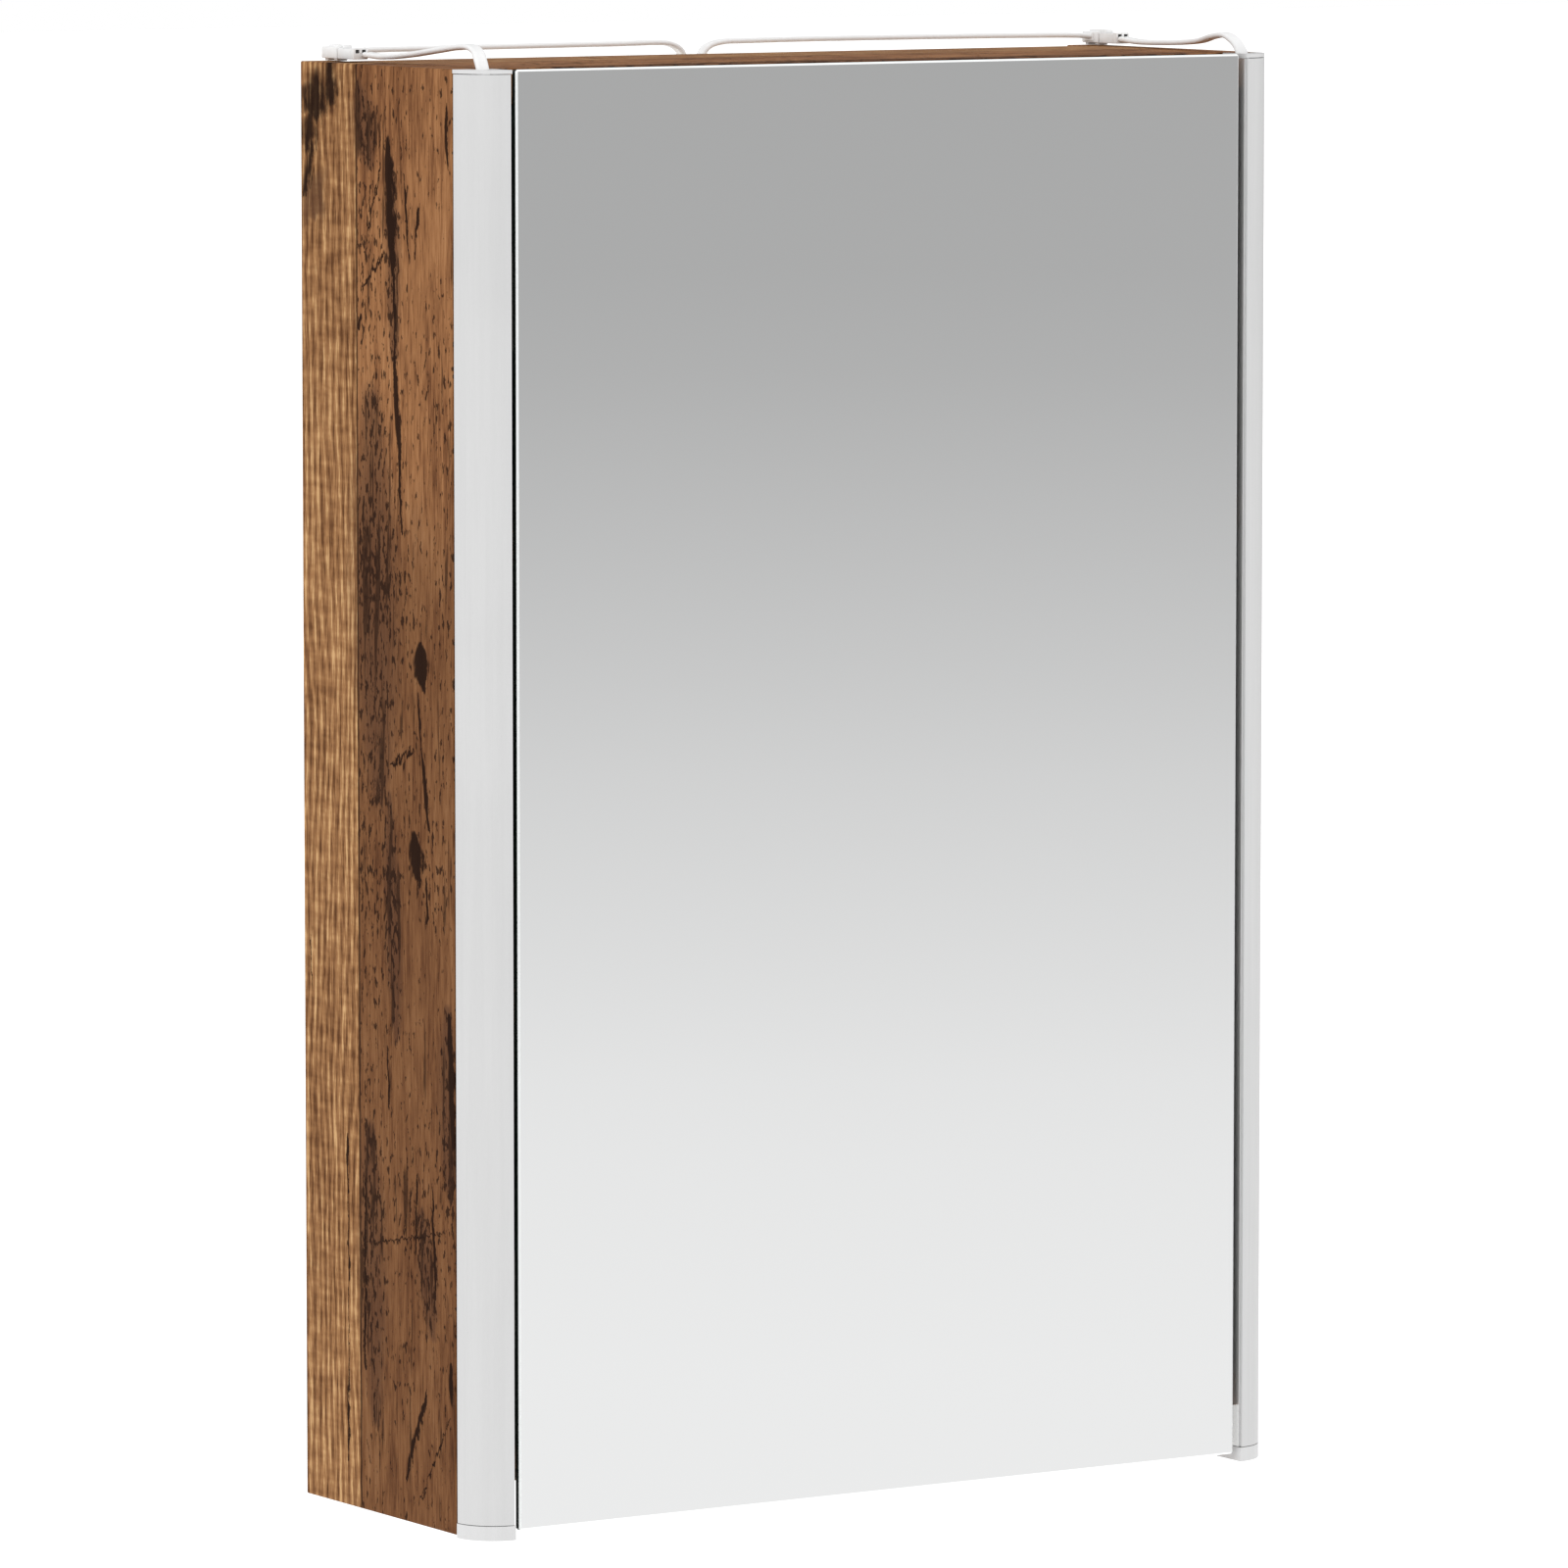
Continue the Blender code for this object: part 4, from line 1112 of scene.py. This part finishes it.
@dataclass
class Fixings:
    """Screws and small hardware on the carcass and the door."""

    finishes: Finishes
    spreader: SpreadTree
    leaf_thick: float = 1.5 * MM
    leaf_end: float = 9 * MM
    side_rows: tuple[float, float] = (8 * MM, 24 * MM)
    door_rows: tuple[float, float] = (7 * MM, 21 * MM)
    side_screw: tuple[float, float] = (3.4 * MM, 1.6 * MM)
    door_screw: tuple[float, float] = (3.2 * MM, 1.3 * MM)
    hanger_screw: tuple[float, float] = (2.4 * MM, 0.6 * MM)
    small_screw: tuple[float, float] = (2.3 * MM, 1.1 * MM)

    def build(self) -> None:
        """Dress the hardware and add its screws."""
        steel = self.finishes.get(STEEL)
        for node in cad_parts:
            if node.startswith(("hinge_", "keyhole_plate", "shelf_pin", "strike_plate")):
                dress(node, steel)
            elif node.startswith("dowel_"):
                dress(node, self.finishes.get(BEECH))
            elif node.startswith("bumper_"):
                dress(node, self.finishes.get(CLEAR))
        dress("back_panel", self.finishes.get(BACK_BOARD))
        self.carcass_screws(steel)
        self.door_screws(steel)

    def carcass_screws(self, steel: bpy.types.Material) -> None:
        """Screws of the side leaves, the keyhole plates, the driver and the catch."""
        places = []
        for name in ("lower", "upper"):
            low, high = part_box(f"hinge_side_leaf_{name}")
            x = low[0] + self.leaf_thick
            for y in (high[1] - row for row in self.side_rows):
                for z in (low[2] + self.leaf_end, high[2] - self.leaf_end):
                    places.append(((x, y, z), (1, 0, 0)))
        piece = self.spreader.spread("hinge_screws_carcass", screw_template(*self.side_screw), places, steel)
        keep(piece, CARCASS, "nickel_steel")
        places = []
        for side in SIDES:
            low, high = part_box(f"keyhole_plate_{side}")
            x = (low[0] + high[0]) / 2
            places += [((x, high[1] - 0.6 * MM, z), (0, 1, 0)) for z in (high[2] - 5 * MM, low[2] + 4.5 * MM)]
        piece = self.spreader.spread("hanger_screws", screw_template(*self.hanger_screw), places, steel)
        keep(piece, CARCASS, "nickel_steel")
        low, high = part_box("led_driver")
        x = (low[0] + high[0]) / 2
        catch_low, catch_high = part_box("magnet_catch")
        ear = catch_high[2] - 3 * MM
        places = [((x, low[1] + 2.3 * MM, high[2] - 3.6 * MM), (0, 1, 0))]
        for x in (catch_low[0] + 3 * MM, catch_high[0] - 3 * MM):
            places.append(((x, (catch_low[1] + catch_high[1]) / 2, ear), (0, 0, -1)))
        piece = self.spreader.spread("small_screws", screw_template(*self.small_screw), places, steel)
        keep(piece, CARCASS, "nickel_steel")

    def door_screws(self, steel: bpy.types.Material) -> None:
        """Screws of the door leaves and the strike plate."""
        places = []
        for name in ("lower", "upper"):
            low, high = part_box(f"hinge_door_leaf_{name}")
            for x in (high[0] - row for row in self.door_rows):
                for z in (low[2] + self.leaf_end, high[2] - self.leaf_end):
                    places.append(((x, high[1], z), (0, 1, 0)))
        low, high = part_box("strike_plate")
        places.append((((low[0] + high[0]) / 2, high[1], (low[2] + high[2]) / 2), (0, 1, 0)))
        piece = self.spreader.spread("hinge_screws_door", screw_template(*self.door_screw), places, steel)
        keep(piece, DOOR, "nickel_steel")


@dataclass
class Studio:
    """Pale floor, soft light, a tone band for reflections and the camera."""

    azimuth: float = -32.57
    elevation: float = 5.83
    distance: float = 4.463
    lens: float = 243.3
    target: Point = (-0.0061, -0.07, 0.2945)
    floor_level: float = -1.5
    band_radius: float = 3.0
    band_stops: tuple = ((-0.52, 0.87), (-0.40, 0.86), (-0.26, 0.828), (-0.20, 0.804), (-0.13, 0.757),
                         (-0.06, 0.712), (0.01, 0.664), (0.08, 0.605), (0.15, 0.552), (0.22, 0.502),
                         (0.29, 0.454), (0.36, 0.426), (0.52, 0.408))

    def build(self) -> None:
        """Make the studio."""
        scene = bpy.context.scene
        scene.view_settings.view_transform = "Standard"
        world = bpy.data.worlds.new("studio")
        scene.world = world
        world.use_nodes = True
        world.node_tree.nodes["Background"].inputs["Color"].default_value = (1, 1, 1, 1)
        world.node_tree.nodes["Background"].inputs["Strength"].default_value = 1.0
        self.camera()
        self.floor()
        self.tone_band()
        self.light("key", (-3.8, -1.6, 2.2), 1.6, 26)
        self.light("fill", (3.2, -1.6, 1.0), 1.8, 8)

    def camera(self) -> None:
        """Set the camera on the cabinet's front left, a little above it."""
        turn, rise = math.radians(self.azimuth), math.radians(self.elevation)
        back = Vector((math.sin(turn) * math.cos(rise), -math.cos(turn) * math.cos(rise), math.sin(rise)))
        data = bpy.data.cameras.new("camera")
        data.lens = self.lens
        data.sensor_width = 36
        data.clip_end = 100
        item = bpy.data.objects.new("camera", data)
        item.location = Vector(self.target) + back * self.distance
        item.rotation_mode = "QUATERNION"
        item.rotation_quaternion = (-back).to_track_quat("-Z", "Y")
        bpy.context.scene.collection.objects.link(item)
        bpy.context.scene.camera = item

    def floor(self) -> None:
        """A wide pale floor well below the cabinet."""
        shape = bmesh.new()
        bmesh.ops.create_grid(shape, x_segments=1, y_segments=1, size=60)
        bmesh.ops.translate(shape, vec=(0, 0, self.floor_level), verts=shape.verts)
        mesh = bpy.data.meshes.new("floor")
        shape.to_mesh(mesh)
        shape.free()
        shader = Shader("floor")
        shader.surface.inputs["Emission Strength"].default_value = 0.35
        shader.surface.inputs["Emission Color"].default_value = (1, 1, 1, 1)
        item = new_object("floor", mesh, shader.finish((0.9, 0.9, 0.9), 0.9))

    def tone_band(self) -> None:
        """A ring that only reflections see, pale below and grey above, for the mirror."""
        shape = bmesh.new()
        steps = 64
        low, high = self.floor_level, 2.5
        rings = []
        for z in (low, high):
            angles = [2 * math.pi * i / steps for i in range(steps)]
            rings.append([shape.verts.new((self.band_radius * math.cos(a), self.band_radius * math.sin(a), z))
                          for a in angles])
        for i in range(steps):
            n = (i + 1) % steps
            shape.faces.new((rings[0][n], rings[0][i], rings[1][i], rings[1][n]))
        mesh = bpy.data.meshes.new("tone_band")
        shape.to_mesh(mesh)
        shape.free()
        shader = Shader("tone_band")
        _, _, z = shader.place()
        start, end = self.band_stops[0][0], self.band_stops[-1][0]
        stops = [((height - start) / (end - start), (tone, tone, tone)) for height, tone in self.band_stops]
        tone = shader.ramp((z - start) * (1 / (end - start)), stops)
        glow = shader.node("ShaderNodeEmission", None, {"Color": tone, "Strength": 1.0})
        output = next(n for n in shader.tree.nodes if n.bl_idname == "ShaderNodeOutputMaterial")
        shader.tree.links.new(glow.outputs[0], output.inputs["Surface"])
        item = new_object("tone_band", mesh, shader.material)
        item.visible_camera = False
        item.visible_diffuse = False
        item.visible_shadow = False
        item.visible_transmission = False

    def light(self, name: str, place: Point, size: float, power: float) -> None:
        """A soft square light aimed at the cabinet."""
        data = bpy.data.lights.new(name, "AREA")
        data.size = size
        data.energy = power
        item = bpy.data.objects.new(name, data)
        item.location = place
        item.rotation_mode = "QUATERNION"
        item.rotation_quaternion = (Vector(self.target) - Vector(place)).to_track_quat("-Z", "Y")
        bpy.context.scene.collection.objects.link(item)


def main() -> None:
    """Build the studio, then each sub-assembly of the cabinet."""
    logging.basicConfig(level=logging.INFO, format="%(name)s: %(message)s")
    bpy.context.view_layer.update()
    Studio().build()
    finishes = Finishes()
    spreader = SpreadTree()
    Leads(finishes).build()
    Connectors(finishes).build()
    Boards(finishes).dress()
    low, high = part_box("mirror_pane")
    dress("mirror_pane", finishes.get(MirrorGlass("mirror_glass", tuple(low), tuple(high))))
    Lamps(finishes, spreader).build()
    Driver(finishes, spreader).build()
    Catch(finishes).build()
    Fixings(finishes, spreader).build()


if __name__ == "__main__":
    main()
